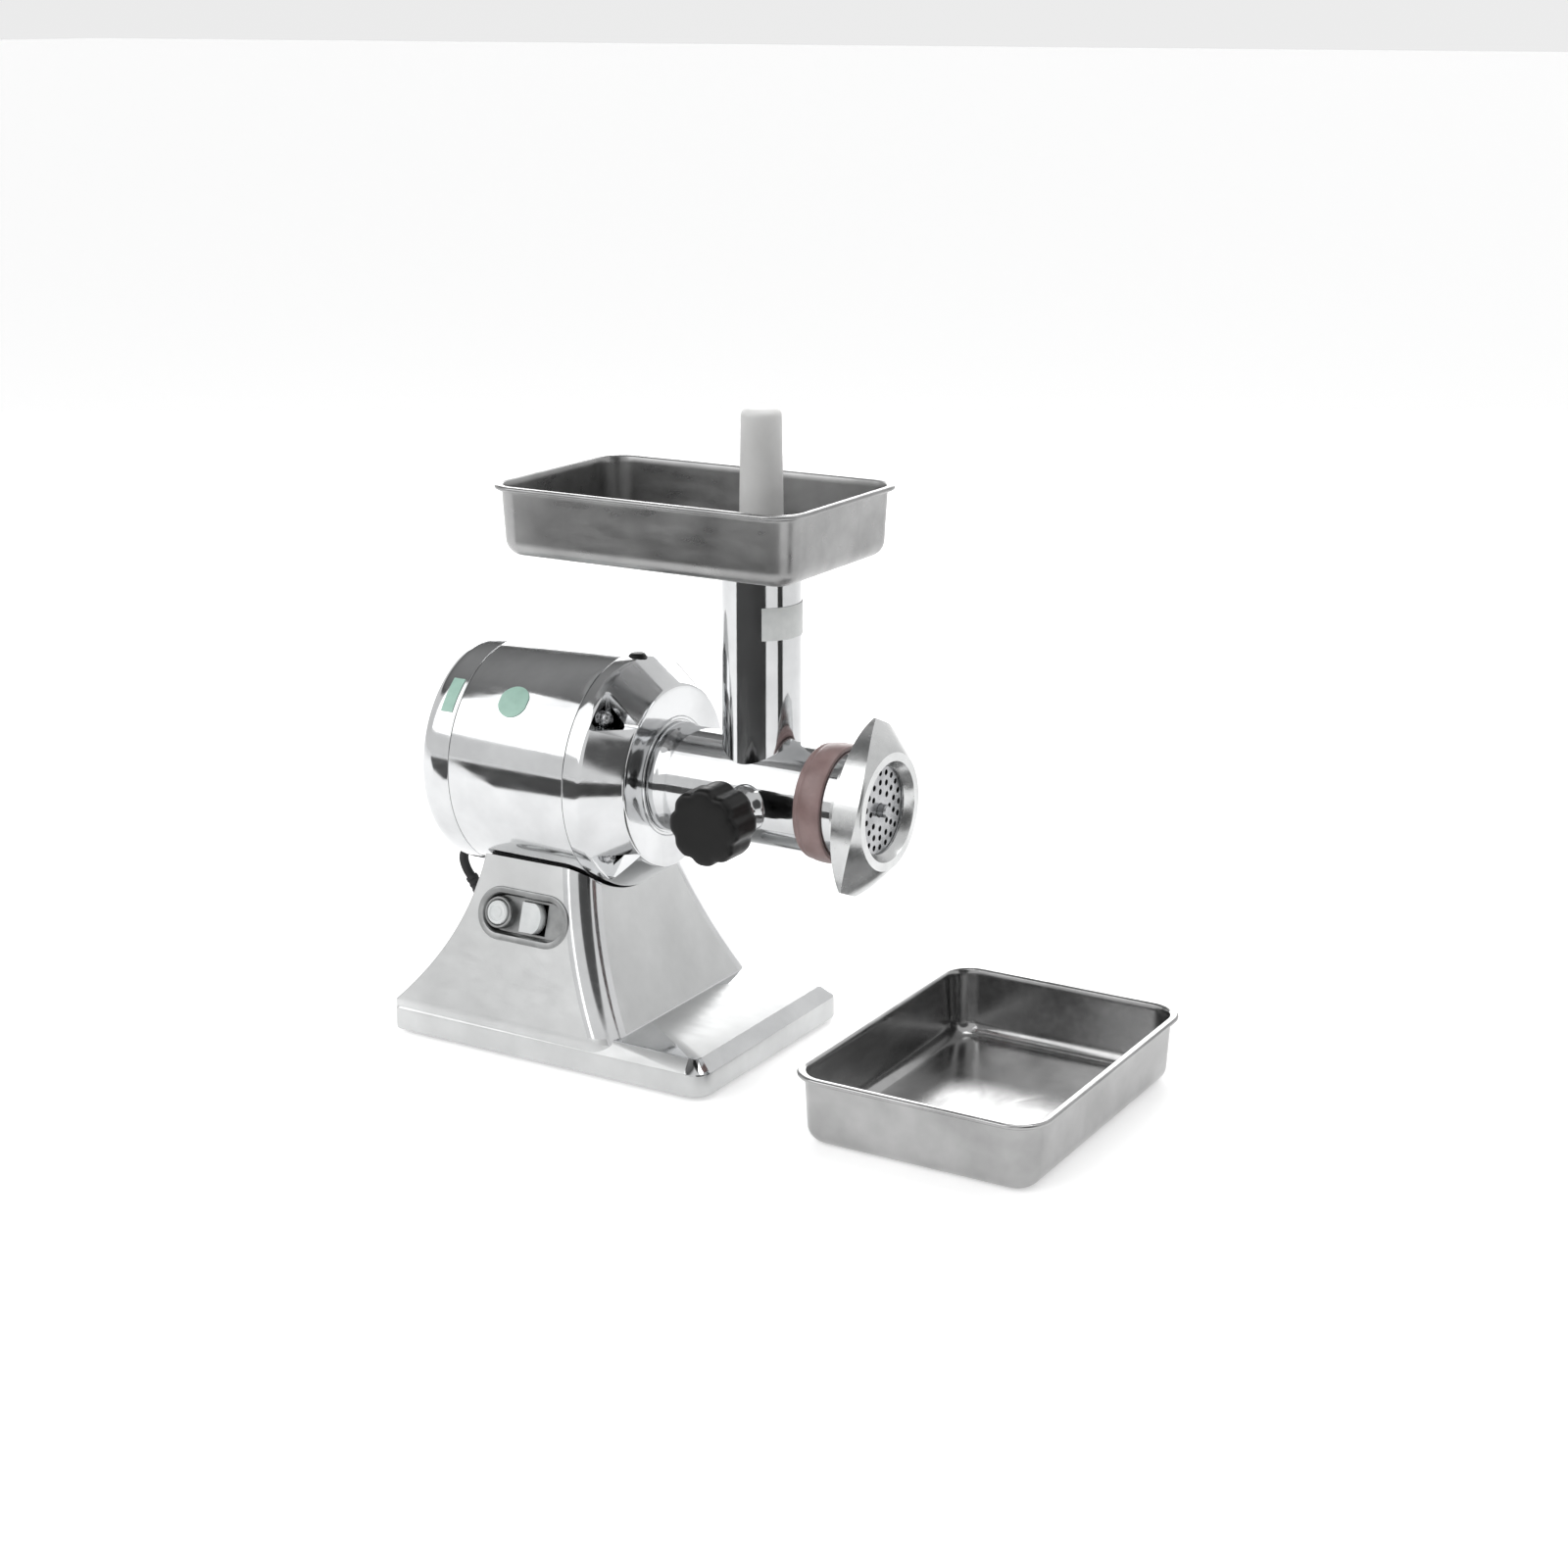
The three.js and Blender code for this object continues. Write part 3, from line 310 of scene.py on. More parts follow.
# Buffed cast aluminium: near-mirror, with faint buffing streaks that blur reflections a little.
polished = surface("buffed_aluminium", "#dadbdc", "#c9cacb", METAL, (0.05, 0.13), 0.5,
                   (0.25, 1, 1), 0.012, 60)
# The same buffed metal on upright pieces, with the streaks running up.
polished_upright = surface("buffed_aluminium_upright", "#d2d3d4", "#c0c1c2", METAL, (0.05, 0.12), 0.5,
                           (1, 1, 0.2), 0.012, 50)
# Cast aluminium rubbed with fine abrasive: light grey, soft broad highlights.
satin = surface("satin_cast_aluminium", "#d2d3d3", "#c4c5c5", METAL, (0.3, 0.4), 0.6, (0.35, 1, 1), 0.03, 70)
# Recess of the switch: the same cast aluminium as the base, with its colour darkened as painted shade for
# the recess, so the keys stand out.
recess_shade_metal = surface("recess_shade_aluminium", "#a2a3a3", "#8e8f8f", METAL, (0.3, 0.42), 0.5, EVEN,
                       0.03, 15)
# Turned nut: finely machined, satin bright.
machined = surface("machined_aluminium", "#d6d7d7", "#c6c7c7", METAL, (0.2, 0.28), 0.4, EVEN, 0.02, 30)
# Drawn stainless sheet, brushed along its length.
sheet_steel = surface("brushed_stainless", "#a6a6a6", "#8c8c8c", METAL, (0.26, 0.36), 0.8,
                      (0.3, 1, 1), 0.012, 60)
# Stainless sheet that is polished on the inside of the pan.
pan_steel = surface("polished_stainless", "#b0b0b0", "#989898", METAL, (0.14, 0.24), 0.8,
                    (1, 0.3, 1), 0.012, 60)
# Ground tool steel of the plate, knife and shafts.
tool_steel = surface("ground_steel", "#b9babc", "#9c9d9f", METAL, (0.22, 0.34), 0.3, (1, 0.3, 1), 0.03, 20)
# Phenolic knob: pressed from black resin, slightly glossy.
phenolic = surface("black_phenolic", "#101010", "#080808", {"Metallic": 0.0, "Specular IOR Level": 0.28},
                   (0.32, 0.45), 0.5, EVEN, 0.02, 25)
# Black rubber and PVC: matte with a fine moulded grain.
rubber = surface("black_rubber", "#232324", "#161617", PLAIN, (0.6, 0.75), 0.5, EVEN, 0.06, 20)
# Dusty mauve silicone band: soft sheen, slightly translucent.
silicone = surface("mauve_silicone", "#937c7a", "#7f6967", {"Metallic": 0.0, "Subsurface Weight": 0.12,
                   "Subsurface Radius": (0.004, 0.003, 0.003)}, (0.34, 0.46), 0.6, EVEN, 0.02, 22)
# Milky polyethylene of the pusher.
polyethylene = surface("milky_polyethylene", "#dededd", "#d4d4d3",
                       {"Metallic": 0.0, "Subsurface Weight": 0.2,
                        "Subsurface Radius": (0.006, 0.006, 0.006)},
                       (0.42, 0.52), 0.7, EVEN, 0.02, 40)
# Pale moulded ABS of the switch keys and the fan.
pale_abs = surface("pale_abs", "#d9dbdb", "#cdd0d0", PLAIN, (0.35, 0.45), 0.4, EVEN, 0.02, 15)
# White label paper, left blank.
paper = surface("sticker_paper", "#d8dad9", "#cfd2d1", PLAIN, (0.4, 0.5), 0.3, EVEN, 0.01, 8)
# Mint green label paper, left blank.
mint_paper = surface("mint_sticker", "#a9cdbf", "#9fc3b5", PLAIN, (0.35, 0.45), 0.3, EVEN, 0.01, 8)
# Copper winding wire under its brown enamel.
copper = surface("enamelled_copper", "#b5683a", "#8f4c28", METAL, (0.3, 0.42), 0.8, EVEN, 0.2, 10)
# Plain turned brass.
brass = surface("plain_brass", "#cdaf62", "#b4964c", METAL, (0.22, 0.34), 0.4, EVEN, 0.02, 10)

# Every CAD node that stays gets its finish here.
STAYING = {
    satin: ["bearing_plate"],
    tool_steel: ["base_cover", "capacitor", "stator_core", "rotor_core", "rotor_shaft", "rear_bearing",
                 "front_bearing", "rotor_pinion", "layshaft_gear", "layshaft", "output_gear", "output_shaft",
                 "output_bearing", "clamp_stud", "auger", "cutting_knife", "locating_key"],
    phenolic: ["switch_body"],
    rubber: ["saddle_gasket", "shaft_seal"],
    polyethylene: ["terminal_block"],
    pale_abs: ["cooling_fan"],
    copper: ["winding_front", "winding_rear"],
    brass: ["thrust_washer"],
}
for material, names in STAYING.items():
    for name in names:
        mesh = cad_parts[name].data
        mesh.materials.clear()
        mesh.materials.append(material)


# ------------------------------------------------------------------ power cord
GLAND_X, GLAND_Z, GLAND_TILT = -231.0, 57.0, math.radians(52)
gland_way = np.array([-math.cos(GLAND_TILT), 0, math.sin(GLAND_TILT)])
gland_foot = np.array([GLAND_X, 0, GLAND_Z])
RELIEF_START, RELIEF_TIP = 12.8, 48.0
COIL_X, COIL_Y, COIL_R = -200.0, 158.0, 43.0
LEAD_R, TAIL_R = 50.2, 46.6
FLOOR_LAY, UPPER_LAY = 3.7, 9.9
PLUG_X, PLUG_Z = -258.0, 16.0
lead_route = np.array([
    gland_foot + gland_way * (RELIEF_TIP + 0.3), gland_foot + gland_way * (RELIEF_TIP + 6),
    [-270.5, 4.5, 107.5], [-274, 17, 113], [-273, 34, 112], [-270, 52, 101], [-268.5, 67, 83],
    [-268, 78, 63], [-269, 85, 44], [-269, 91, 28], [-266.5, 97, 16], [-260, 102.5, 8], [-249, 106.3, 4.4],
    [-233, COIL_Y - LEAD_R, FLOOR_LAY], [-215, COIL_Y - LEAD_R, FLOOR_LAY]])
tail_route = np.array([[-214, COIL_Y + TAIL_R, UPPER_LAY], [-228, COIL_Y + TAIL_R, 11.0],
                       [-243, COIL_Y + TAIL_R, 14.4], [PLUG_X + 0.3, COIL_Y + TAIL_R, PLUG_Z]])
TURNS = 4.5


def coil_route(points_per_turn=40):
    """The cord's turns, anticlockwise from the near side to the far side: the radius times (cos, sin) of the
    angle. The radius steps inwards over three turns on the floor, then outwards over one and a half turns
    that lie on those."""
    turn = np.linspace(0, TURNS, int(TURNS * points_per_turn) + 1)
    radius = np.interp(turn, [0, 0.75, 1.0, 1.75, 2.0, 2.75, 3.0, 3.75, 4.0, TURNS],
                       [LEAD_R, LEAD_R, COIL_R, COIL_R, COIL_R - 7.2, COIL_R - 7.2, COIL_R - 3.7,
                        COIL_R - 3.7, COIL_R + 3.6, TAIL_R])
    height = np.interp(turn, [0, 2.7, 3.0, TURNS], [FLOOR_LAY, FLOOR_LAY, UPPER_LAY, UPPER_LAY])
    angle = TURN * turn - np.pi / 2
    return np.column_stack([COIL_X + radius * np.cos(angle), COIL_Y + radius * np.sin(angle), height])


def smooth_route(points, step):
    """A centripetal Catmull-Rom curve through the points, resampled at equal steps of its length."""
    p = np.vstack([2 * points[0] - points[1], points, 2 * points[-1] - points[-2]])
    knots = np.concatenate([[0], np.cumsum(np.sqrt(np.linalg.norm(np.diff(p, axis=0), axis=1)))])
    out = []
    for i in range(1, len(p) - 2):
        t0, t1, t2, t3 = knots[i - 1:i + 3]
        t = np.linspace(t1, t2, 24, endpoint=False)[:, None]
        a1 = (t1 - t) / (t1 - t0) * p[i - 1] + (t - t0) / (t1 - t0) * p[i]
        a2 = (t2 - t) / (t2 - t1) * p[i] + (t - t1) / (t2 - t1) * p[i + 1]
        a3 = (t3 - t) / (t3 - t2) * p[i + 1] + (t - t2) / (t3 - t2) * p[i + 2]
        b1 = (t2 - t) / (t2 - t0) * a1 + (t - t0) / (t2 - t0) * a2
        b2 = (t3 - t) / (t3 - t1) * a2 + (t - t1) / (t3 - t1) * a3
        out.append((t2 - t) / (t2 - t1) * b1 + (t - t1) / (t2 - t1) * b2)
    dense = np.vstack(out + [points[-1:]])
    length = np.concatenate([[0], np.cumsum(np.linalg.norm(np.diff(dense, axis=0), axis=1))])
    at = np.linspace(0, length[-1], max(2, int(round(length[-1] / step)) + 1))
    return np.column_stack([np.interp(at, length, dense[:, k]) for k in range(3)])


def tube(route, radius, sides=14):
    """A round section carried along a route: at each point the radius times (cos, sin) in the plane across
    the route, with the section's directions kept from twisting by carrying them from point to point."""
    way = np.gradient(route, axis=0)
    way /= np.linalg.norm(way, axis=1, keepdims=True)
    across = np.zeros_like(way)
    across[0] = np.cross(way[0], [0, 1, 0])
    across[0] /= np.linalg.norm(across[0])
    for i in range(1, len(way)):
        flat = across[i - 1] - way[i] * np.dot(across[i - 1], way[i])
        across[i] = flat / np.linalg.norm(flat)
    other = np.cross(way, across)
    a = np.linspace(0, TURN, sides, endpoint=False)
    radius = np.broadcast_to(radius, len(route))[:, None, None]
    return skin(route[:, None] + radius * (np.cos(a)[None, :, None] * across[:, None]
                                           + np.sin(a)[None, :, None] * other[:, None]))


cord_route = smooth_route(np.vstack([lead_route, coil_route()[::4], tail_route]), 3.0)
cord = piece("supply_cord", tube(cord_route, CORD_R), rubber, "machine",
             ["power_cord", "power_cord_coil", "power_cord_tail"], 60)


def on_gland(profile, segments=48):
    """A profile turned round the gland's leaning axis."""
    verts, faces = turned(profile, "x", (0, 0, 0), segments)
    side = np.array([0.0, 1.0, 0.0])
    up = np.cross(gland_way, side)
    verts = gland_foot + verts @ np.array([gland_way, side, up])
    return verts, faces


piece("gland_collar", on_gland(softened(
    [[4, -12], [7.8, -12], [7.8, 5], [11, 6], [11, 11], [8, 12.5], [4, 12.5]], 0.8)), rubber, "machine",
    ["cable_gland"])
relief_at = np.linspace(0, 1, 60)
relief_ribs = 0.45 * (np.cos(relief_at * TURN * 8) > 0) * (relief_at > 0.12) * (relief_at < 0.95)
relief_r = 6.6 + (CORD_R + 1.1 - 6.6) * relief_at - relief_ribs
relief_x = RELIEF_START + (RELIEF_TIP - RELIEF_START) * relief_at
relief_profile = np.vstack([[0, RELIEF_START], np.column_stack([relief_r, relief_x]), [0, RELIEF_TIP]])
relief = piece("ribbed_strain_relief", on_gland(relief_profile), rubber, "machine", ["strain_relief"])
PLUG_Y = COIL_Y + TAIL_R
plug_profile = softened([[0, 0], [6, 0], [9, -14], [15, -26], [15.8, -47.9], [0, -47.9]], 4, 6, closed=False)
plug_body = piece("mains_plug", turned(plug_profile, "x", (PLUG_X, PLUG_Y, PLUG_Z), 64), rubber, "machine",
                  ["plug_body"])
for k, side in enumerate((-1, 1)):
    pin = softened([[0, -48.3], [2.4, -48.3], [2.4, -67], [0, -67]], 1.2, 4, closed=False)
    pin_shape = turned(pin, "x", (PLUG_X, PLUG_Y + side * 9.5, PLUG_Z), 24)
    piece(f"mains_pin_{k + 1}", pin_shape, brass, "machine", [f"plug_pin_{k + 1}"])


# ------------------------------------------------------------------ base casting
SIDE_SLOPE = 38 / 119
BAND_R = 19.0
SADDLE_R = MOTOR_R + 2


def side_at(z):
    """Half width of the pedestal, which leans in evenly from 98 mm at the height of the skirt."""
    return 98 - (z - 22) * SIDE_SLOPE


def parabola(a, b, c, z):
    """x of the quadratic curve with ends a, c and control point b, at each height z."""
    t = np.linspace(0, 1, 400)[:, None]
    curve = (1 - t) ** 2 * np.array(a) + 2 * t * (1 - t) * np.array(b) + t ** 2 * np.array(c)
    return np.interp(z, curve[:, 1], curve[:, 0])


def rear_flank(z):
    """x of the rear flank, a hollow curve from the skirt's end up to the saddle."""
    return parabola((BASE_REAR, 26), (-205, 80), (-201, 141), z)


def front_flank(z):
    """x of the front flank, a hollow curve from the tongue up to the saddle."""
    return parabola((-66, 26), (-99, 78), (-112, 141), z)


def plateau(x):
    """Height of the tongue's top: it falls a little from the pedestal to the front."""
    return 27.5 + 3.5 * np.clip((BASE_FRONT - x) / 67, 0, 1)


def foot_shape(inset, bottom):
    """The skirt, its chamfer and the tongue's top as level loops with round corners."""
    def ring(extra, z, rear_r=4, front_r=15):
        return at_height(level_loop(BASE_REAR + inset + extra, BASE_FRONT - inset - extra,
                                    BASE_HALF - inset - extra, rear_r, front_r), z)
    top = 20 - inset / 2
    return skin([ring(1.2, bottom, 3, 14), ring(0, bottom + 1.2), ring(0, top - 1), ring(0.3, top),
                 ring(9.2, lambda x: plateau(x) - inset - 0.5, 2.5, 8),
                 ring(10.4, lambda x: plateau(x) - inset, 2, 7)])


def pedestal_shape(inset, bead=0.0):
    """Level loops that follow the rear and front flanks and the leaning sides, from foot to saddle."""
    rings = []
    for z in np.concatenate([[16], np.linspace(26, 141, 30), [150]]):
        level = np.clip(z, 26, 141)
        x0 = rear_flank(level) + inset
        x1 = front_flank(level) - inset
        rings.append(at_height(level_loop(x0, x1, side_at(level) - inset, 3, BAND_R, bead), z))
    return skin(rings)


def saddle_rod(radius):
    """A rod along the motor, long enough to cut the whole saddle."""
    return rod(radius, -290, 30, segments=160)


switch_u = np.array([1.0, 0, 0])
switch_v = np.array([0, SIDE_SLOPE, 1.0]) / math.hypot(SIDE_SLOPE, 1)
switch_w = np.cross(switch_u, switch_v)
switch_centre = np.array([-158, -side_at(101), 101])


def on_switch(local):
    """Points given along, up and out of the leaning side face, moved there."""
    local = np.asarray(local, dtype=float)
    return switch_centre + local @ np.array([switch_u, switch_v, switch_w])


def stadium(half_length, half_height, steps=24):
    """Two half circles joined by straight sides, as (along, up) points."""
    a = np.linspace(-np.pi / 2, np.pi / 2, steps)
    end = np.column_stack([half_length - half_height + half_height * np.cos(a), half_height * np.sin(a)])
    return np.vstack([end, -end])


def stacked(outlines):
    """A skin through outlines given as (points along and up, distance out)."""
    return skin([np.column_stack([outline, np.full(len(outline), w)]) for outline, w in outlines])


def on_side(shape):
    """A shape given in the switch's own directions, moved onto the side face."""
    verts, faces = shape
    return on_switch(verts), faces


SWITCH_HOLE = stadium(38, 17.5)
base = loose("base", foot_shape(0, 3))
carved(base, ("UNION", loose("pedestal", pedestal_shape(0, 0.8))))
hollow = loose("hollow", foot_shape(4.5, -6))
carved(hollow, ("UNION", loose("hollow_top", pedestal_shape(4.5))),
       ("DIFFERENCE", loose("saddle_floor", saddle_rod(SADDLE_R + 4))))
carved(base, ("DIFFERENCE", loose("saddle", saddle_rod(SADDLE_R))), ("DIFFERENCE", hollow),
       ("DIFFERENCE", loose("switch_hole", on_side(stacked([(SWITCH_HOLE, -20), (SWITCH_HOLE, 12)])))),
       ("DIFFERENCE", loose("gland_hole", on_gland([[0, -14], [8.3, -14], [8.3, 16], [0, 16]]))))
base.name = "base_shell"
finished(base, satin, "machine", ["base_casting"], 28)
base.data.materials.append(polished)


def paint_corner_bands():
    """Gives the polished finish to the two front corner bands, which are the faces within the band's radius
    of both the front flank and the side, and to the foot's chamfer, the sloping faces above the skirt."""
    mesh = base.data
    count = len(mesh.polygons)
    centre = np.empty(count * 3)
    normal = np.empty(count * 3)
    mesh.polygons.foreach_get("center", centre)
    mesh.polygons.foreach_get("normal", normal)
    centre = centre.reshape(-1, 3) * 1000 - np.array([FRAME_SHIFT, 0, 0])
    normal = normal.reshape(-1, 3)
    front_x = front_flank(np.clip(centre[:, 2], 26, 141))
    side = side_at(centre[:, 2])
    in_band = ((centre[:, 0] > front_x - BAND_R + 0.3) & (np.abs(centre[:, 1]) > side - BAND_R + 0.3)
               & (centre[:, 2] > 28.5) & (centre[:, 0] < -60))
    chamfer = ((centre[:, 2] > 19.2) & (centre[:, 2] < 31) & (centre[:, 0] > -72) & (normal[:, 2] > 0.2)
               & (normal[:, 2] < 0.93) & (normal[:, 0] < 0.9))
    mesh.polygons.foreach_set("material_index", (in_band | chamfer).astype(np.int32))


paint_corner_bands()

for end, x in (("rear", -238), ("front", -14)):
    for side, y in (("near", -76), ("far", 76)):
        name = f"foot_{end}_{side}"
        pad = softened([[0, 0], [9.5, 0], [11, 3.7], [0, 3.7]], 0.8, 4, closed=False)
        piece(f"rubber_{name}", turned(pad, "z", (x, y, 0), 48), rubber, "machine", [name])

# ------------------------------------------------------------------ switch
BUTTON_U, ROCKER_U = -23.0, 5.0
bezel = loose("bezel", on_side(stacked([
    (stadium(37.5, 17), -9), (stadium(37.5, 17), 0.3), (stadium(40, 19.5), 0.3), (stadium(40, 19.5), 1.0),
    (stadium(39.4, 18.9), 1.8), (stadium(38.4, 17.9), 2.0), (stadium(35.6, 15.1), 1.4),
    (stadium(34.5, 14), -0.6), (stadium(34, 13.5), -6.6), (stadium(33.6, 13.1), -7.0)])))
guard_profile = [[0, -7.4], [11.8, -7.4], [11.8, -0.6], [11.2, 0.2], [10, 0.2], [9.4, -0.6], [9.4, -7.2],
                 [0, -7.2]]
button_hole = rod(9.2, -12, 5, "z", (BUTTON_U, 0, 0))
rocker_hole = block(ROCKER_U - 10.8, ROCKER_U + 10.8, -11.6, 11.6, -12, -6)
carved(bezel,
       ("UNION", loose("guard", on_side(turned(guard_profile, "z", (BUTTON_U, 0, 0), 64)))),
       ("DIFFERENCE", loose("button_hole", on_side(button_hole))),
       ("DIFFERENCE", loose("rocker_hole", on_side(rocker_hole))))

bezel.name = "switch_surround"
# The surround takes the darkened aluminium: painted shade in the switch recess.
finished(bezel, recess_shade_metal, "machine", ["switch_bezel"], 28)

button_profile = softened([[0, -13], [8.7, -13], [8.7, 1.2], [6.6, 2.0], [5.6, 1.3], [4.4, 1.3], [3.6, 1.9],
                           [0, 1.9]], 0.5, 3, closed=False)
piece("start_key", on_side(turned(button_profile, "z", (BUTTON_U, 0, 0), 64)), pale_abs, "button",
      ["start_button"])


def rocker_shape():
    """Two flats meeting in a shallow valley over a round belly, carried up the face. The right half of each
    section shrinks by the root of one minus the square of its height over the half height: that makes the
    D."""
    belly = np.linspace(np.pi, TURN, 28)
    section = np.vstack([np.column_stack([10 * np.cos(belly), 10 * np.sin(belly)]),
                         [[9.6, 1.4], [8.5, 2.4], [4, 1.6], [0, 1.1], [-4, 1.6], [-8.5, 2.4], [-9.6, 1.4]]])
    rings = []
    for v in 11 * np.sin(np.linspace(-np.pi / 2, np.pi / 2, 25)):
        right = math.sqrt(max(0.0, 1 - (v / 11.4) ** 2))
        along = np.where(section[:, 0] > 0, section[:, 0] * right, section[:, 0])
        rings.append(np.column_stack([ROCKER_U + along, np.full(len(section), v), -4 + section[:, 1]]))
    return skin(rings)


piece("stop_key", on_side(rocker_shape()), pale_abs, "rocker", ["stop_rocker"], 40)

# ------------------------------------------------------------------ motor
INNER_R = MOTOR_R - 3.5
shell_loop = softened([[INNER_R, CAP_SEAM + 0.35], [MOTOR_R, CAP_SEAM + 0.35], [MOTOR_R, FRONT_SEAM - 0.35],
                       [INNER_R, FRONT_SEAM - 0.35]], [0.2, 0.5, 0.5, 0.2])
piece("motor_barrel", turned(shell_loop, segments=192), polished, "machine", ["motor_shell"])
cap_loop = softened([[16.4, -226], [20, -226], [20, -236], [78, -236], [INNER_R, -231], [INNER_R, CAP_SEAM],
                     [MOTOR_R, CAP_SEAM], [MOTOR_R, -232], [82, -238.6], [74, -240], [14, -240],
                     [14, -237.5], [16.4, -236]],
                    [0.3, 0.3, 0.3, 2, 2, 0.2, 0.5, 6, 3, 4, 0.3, 0.3, 0.3], 6)
rear_cap = loose("cap", turned(cap_loop, segments=192))
slots = []
for k in range(3):
    for side in (-1, 1):
        slot_z = AXIS_Z + side * (30 + 10 * k)
        slots.append(block(-246, -230, -(30 - 4 * k), 30 - 4 * k, slot_z - 2.2, slot_z + 2.2))
carved(rear_cap, ("DIFFERENCE", loose("slots", merged(*slots))))
rear_cap.name = "motor_end_cap"
finished(rear_cap, polished, "machine", ["motor_rear_cap"], 28)

housing_loop = softened([
    [79.7, FRONT_SEAM], [MOTOR_R, FRONT_SEAM], [MOTOR_R, SHOULDER], [68.4, -76.2], [66.4, NOSE - 0.4],
    [64, NOSE], [44, NOSE], [43, NOSE - 0.8], [41.4, NOSE - 0.8], [41, NOSE], [18.4, NOSE], [18.4, -77.4],
    [12.6, -77.4],
    [12.6, -79], [20.4, -79], [20.4, -87.3], [25, -87.3], [25, -79], [61.5, -79], [79.7, -103.5]],
    [0.2, 0.5, 2.5, 1.5, 1.2, 1.2, 0.4, 0.3, 0.3, 0.4] + [0.2] * 10)
housing = loose("housing", turned(housing_loop, segments=192))
SCREW_R = 71.5
SCREW_CENTRE = (0, SCREW_R, AXIS_Z)
LAYSHAFT_CENTRE = (0, 0, AXIS_Z - 37.5)
VENT_X = -104.0
screw_angles = [math.pi / 4 + k * math.pi / 2 for k in range(4)]


def round_axis(shape, angle):
    """Turns a shape about the auger's axis."""
    verts, faces = shape
    c, s = math.cos(angle), math.sin(angle)
    turn = np.array([[1, 0, 0], [0, c, s], [0, -s, c]])
    middle = np.array([0, 0, AXIS_Z])
    return (np.asarray(verts) - middle) @ turn + middle, faces


def notch_shape():
    """A square bar along X standing on one edge, whose inner edge lies 65 mm from the axis."""
    half = 17.0
    corners = softened(np.array([[0, half], [half, 0], [0, -half], [-half, 0]], dtype=float), 2.4, 4)
    centre = 65 + half
    rings = [np.column_stack([np.full(len(corners), x), centre + corners[:, 0], AXIS_Z + corners[:, 1]])
             for x in (-99.2, -50)]
    return skin(rings)


def at_screws(shape):
    """Four copies of a shape, one at each screw's angle."""
    return merged(*[round_axis(shape, angle) for angle in screw_angles])


boss = rod(18, -106.4, -97, centre=SCREW_CENTRE)
shaft_boss = rod(10, -87.6, -78, centre=LAYSHAFT_CENTRE)
bosses = loose("bosses", at_screws(boss))
limit = loose("limit", rod(MOTOR_R - 1.2, -108, -90, segments=96))
carved(bosses, ("INTERSECT", limit))
screw_hole = rod(3.3, -108, -98, centre=SCREW_CENTRE, segments=24)
shaft_hole = rod(6.3, -90, -79.6, centre=LAYSHAFT_CENTRE, segments=32)
vent_hole = rod(6.9, AXIS_Z + 74, AXIS_Z + 92, "z", (VENT_X, 0, 0))
carved(housing, ("UNION", bosses), ("UNION", loose("shaft_boss", shaft_boss)),
       ("DIFFERENCE", loose("notches", at_screws(notch_shape()))),
       ("DIFFERENCE", loose("screw_holes", at_screws(screw_hole))),
       ("DIFFERENCE", loose("shaft_hole", shaft_hole)),
       ("DIFFERENCE", loose("plug_hole", vent_hole)))
housing.name = "gearbox_cover"
finished(housing, polished, "machine", ["gearbox_housing"], 28)
screw_profile = softened([[0, -105.4], [2.9, -105.4], [2.9, -98.9], [5.6, -98.9], [5.6, -95.8],
                          [3.6, -93.6], [2.2, -93.2], [1.8, -95], [0, -95]],
                         [0, 0.3, 0.2, 0.2, 1.6, 1.0, 0.3, 0.2, 0], 4, closed=False)
for k, angle in enumerate(screw_angles):
    screw = round_axis(turned(screw_profile, "x", SCREW_CENTRE, 32), angle)
    piece(f"cap_screw_{k + 1}", screw, tool_steel, "machine", [f"housing_screw_{k + 1}"])
vent_profile = softened([[0, AXIS_Z + 79.8], [6.5, AXIS_Z + 79.8], [6.5, AXIS_Z + 85.6],
                         [4.6, AXIS_Z + 87.2], [0, AXIS_Z + 87.6]], 0.8, 4, closed=False)
piece("breather_plug", turned(vent_profile, "z", (VENT_X, 0, 0), 48), phenolic, "machine", ["vent_plug"])

# ------------------------------------------------------------------ grinding head
BARREL_R, MOUTH_R, BARREL_END = 38.3, 35.3, 93.5
NECK_R = 28.0
ON_NECK = (0, 0, 0)
KNOB_CENTRE = (9.0, 0, 200.5)
STUD_HOLE_R = 4.3
KEY_HALF = 2.3
barrel_loop = softened([
    [15.3, -72.7], [39, -72.7], [40, -71.6], [40, -67], [38.3, -61], [BARREL_R, -20], [BARREL_R, 46],
    [BARREL_R, BARREL_END], [MOUTH_R, BARREL_END], [MOUTH_R, 74], [26, 74], [26, -60], [15.3, -60]],
    [0.2, 0.6, 0.6, 2, 4, 0.3, 0.3, 0.6, 0.4, 0.3, 0.3, 0.3, 0.3])
head = loose("barrel", turned(barrel_loop, segments=160))
neck_top = TRAY_BOTTOM - 0.3
neck_out = turned([[0, AXIS_Z], [NECK_R, AXIS_Z], [NECK_R, neck_top - 1], [NECK_R - 0.6, neck_top],
                   [0, neck_top]], "z", ON_NECK, 160)
boss_profile = softened([[0, -57.6], [9.6, -57.6], [10.4, -56.6], [10.4, -46], [16.8, -38], [17, -20],
                         [0, -20]], [0, 0.6, 0.6, 3, 4, 0.3, 0], 5, closed=False)
boss_out = turned(boss_profile, "y", KNOB_CENTRE, 96)
barrel_bore = rod(26, -60.2, 74.2, segments=160)
neck_bore = rod(25.3, AXIS_Z, 370, "z", ON_NECK, 128)
stud_hole = rod(STUD_HOLE_R, -60, -45, "y", KNOB_CENTRE, 32)
key_slot = block(80, 95, -KEY_HALF, KEY_HALF, AXIS_Z - 36.9, AXIS_Z - 30)
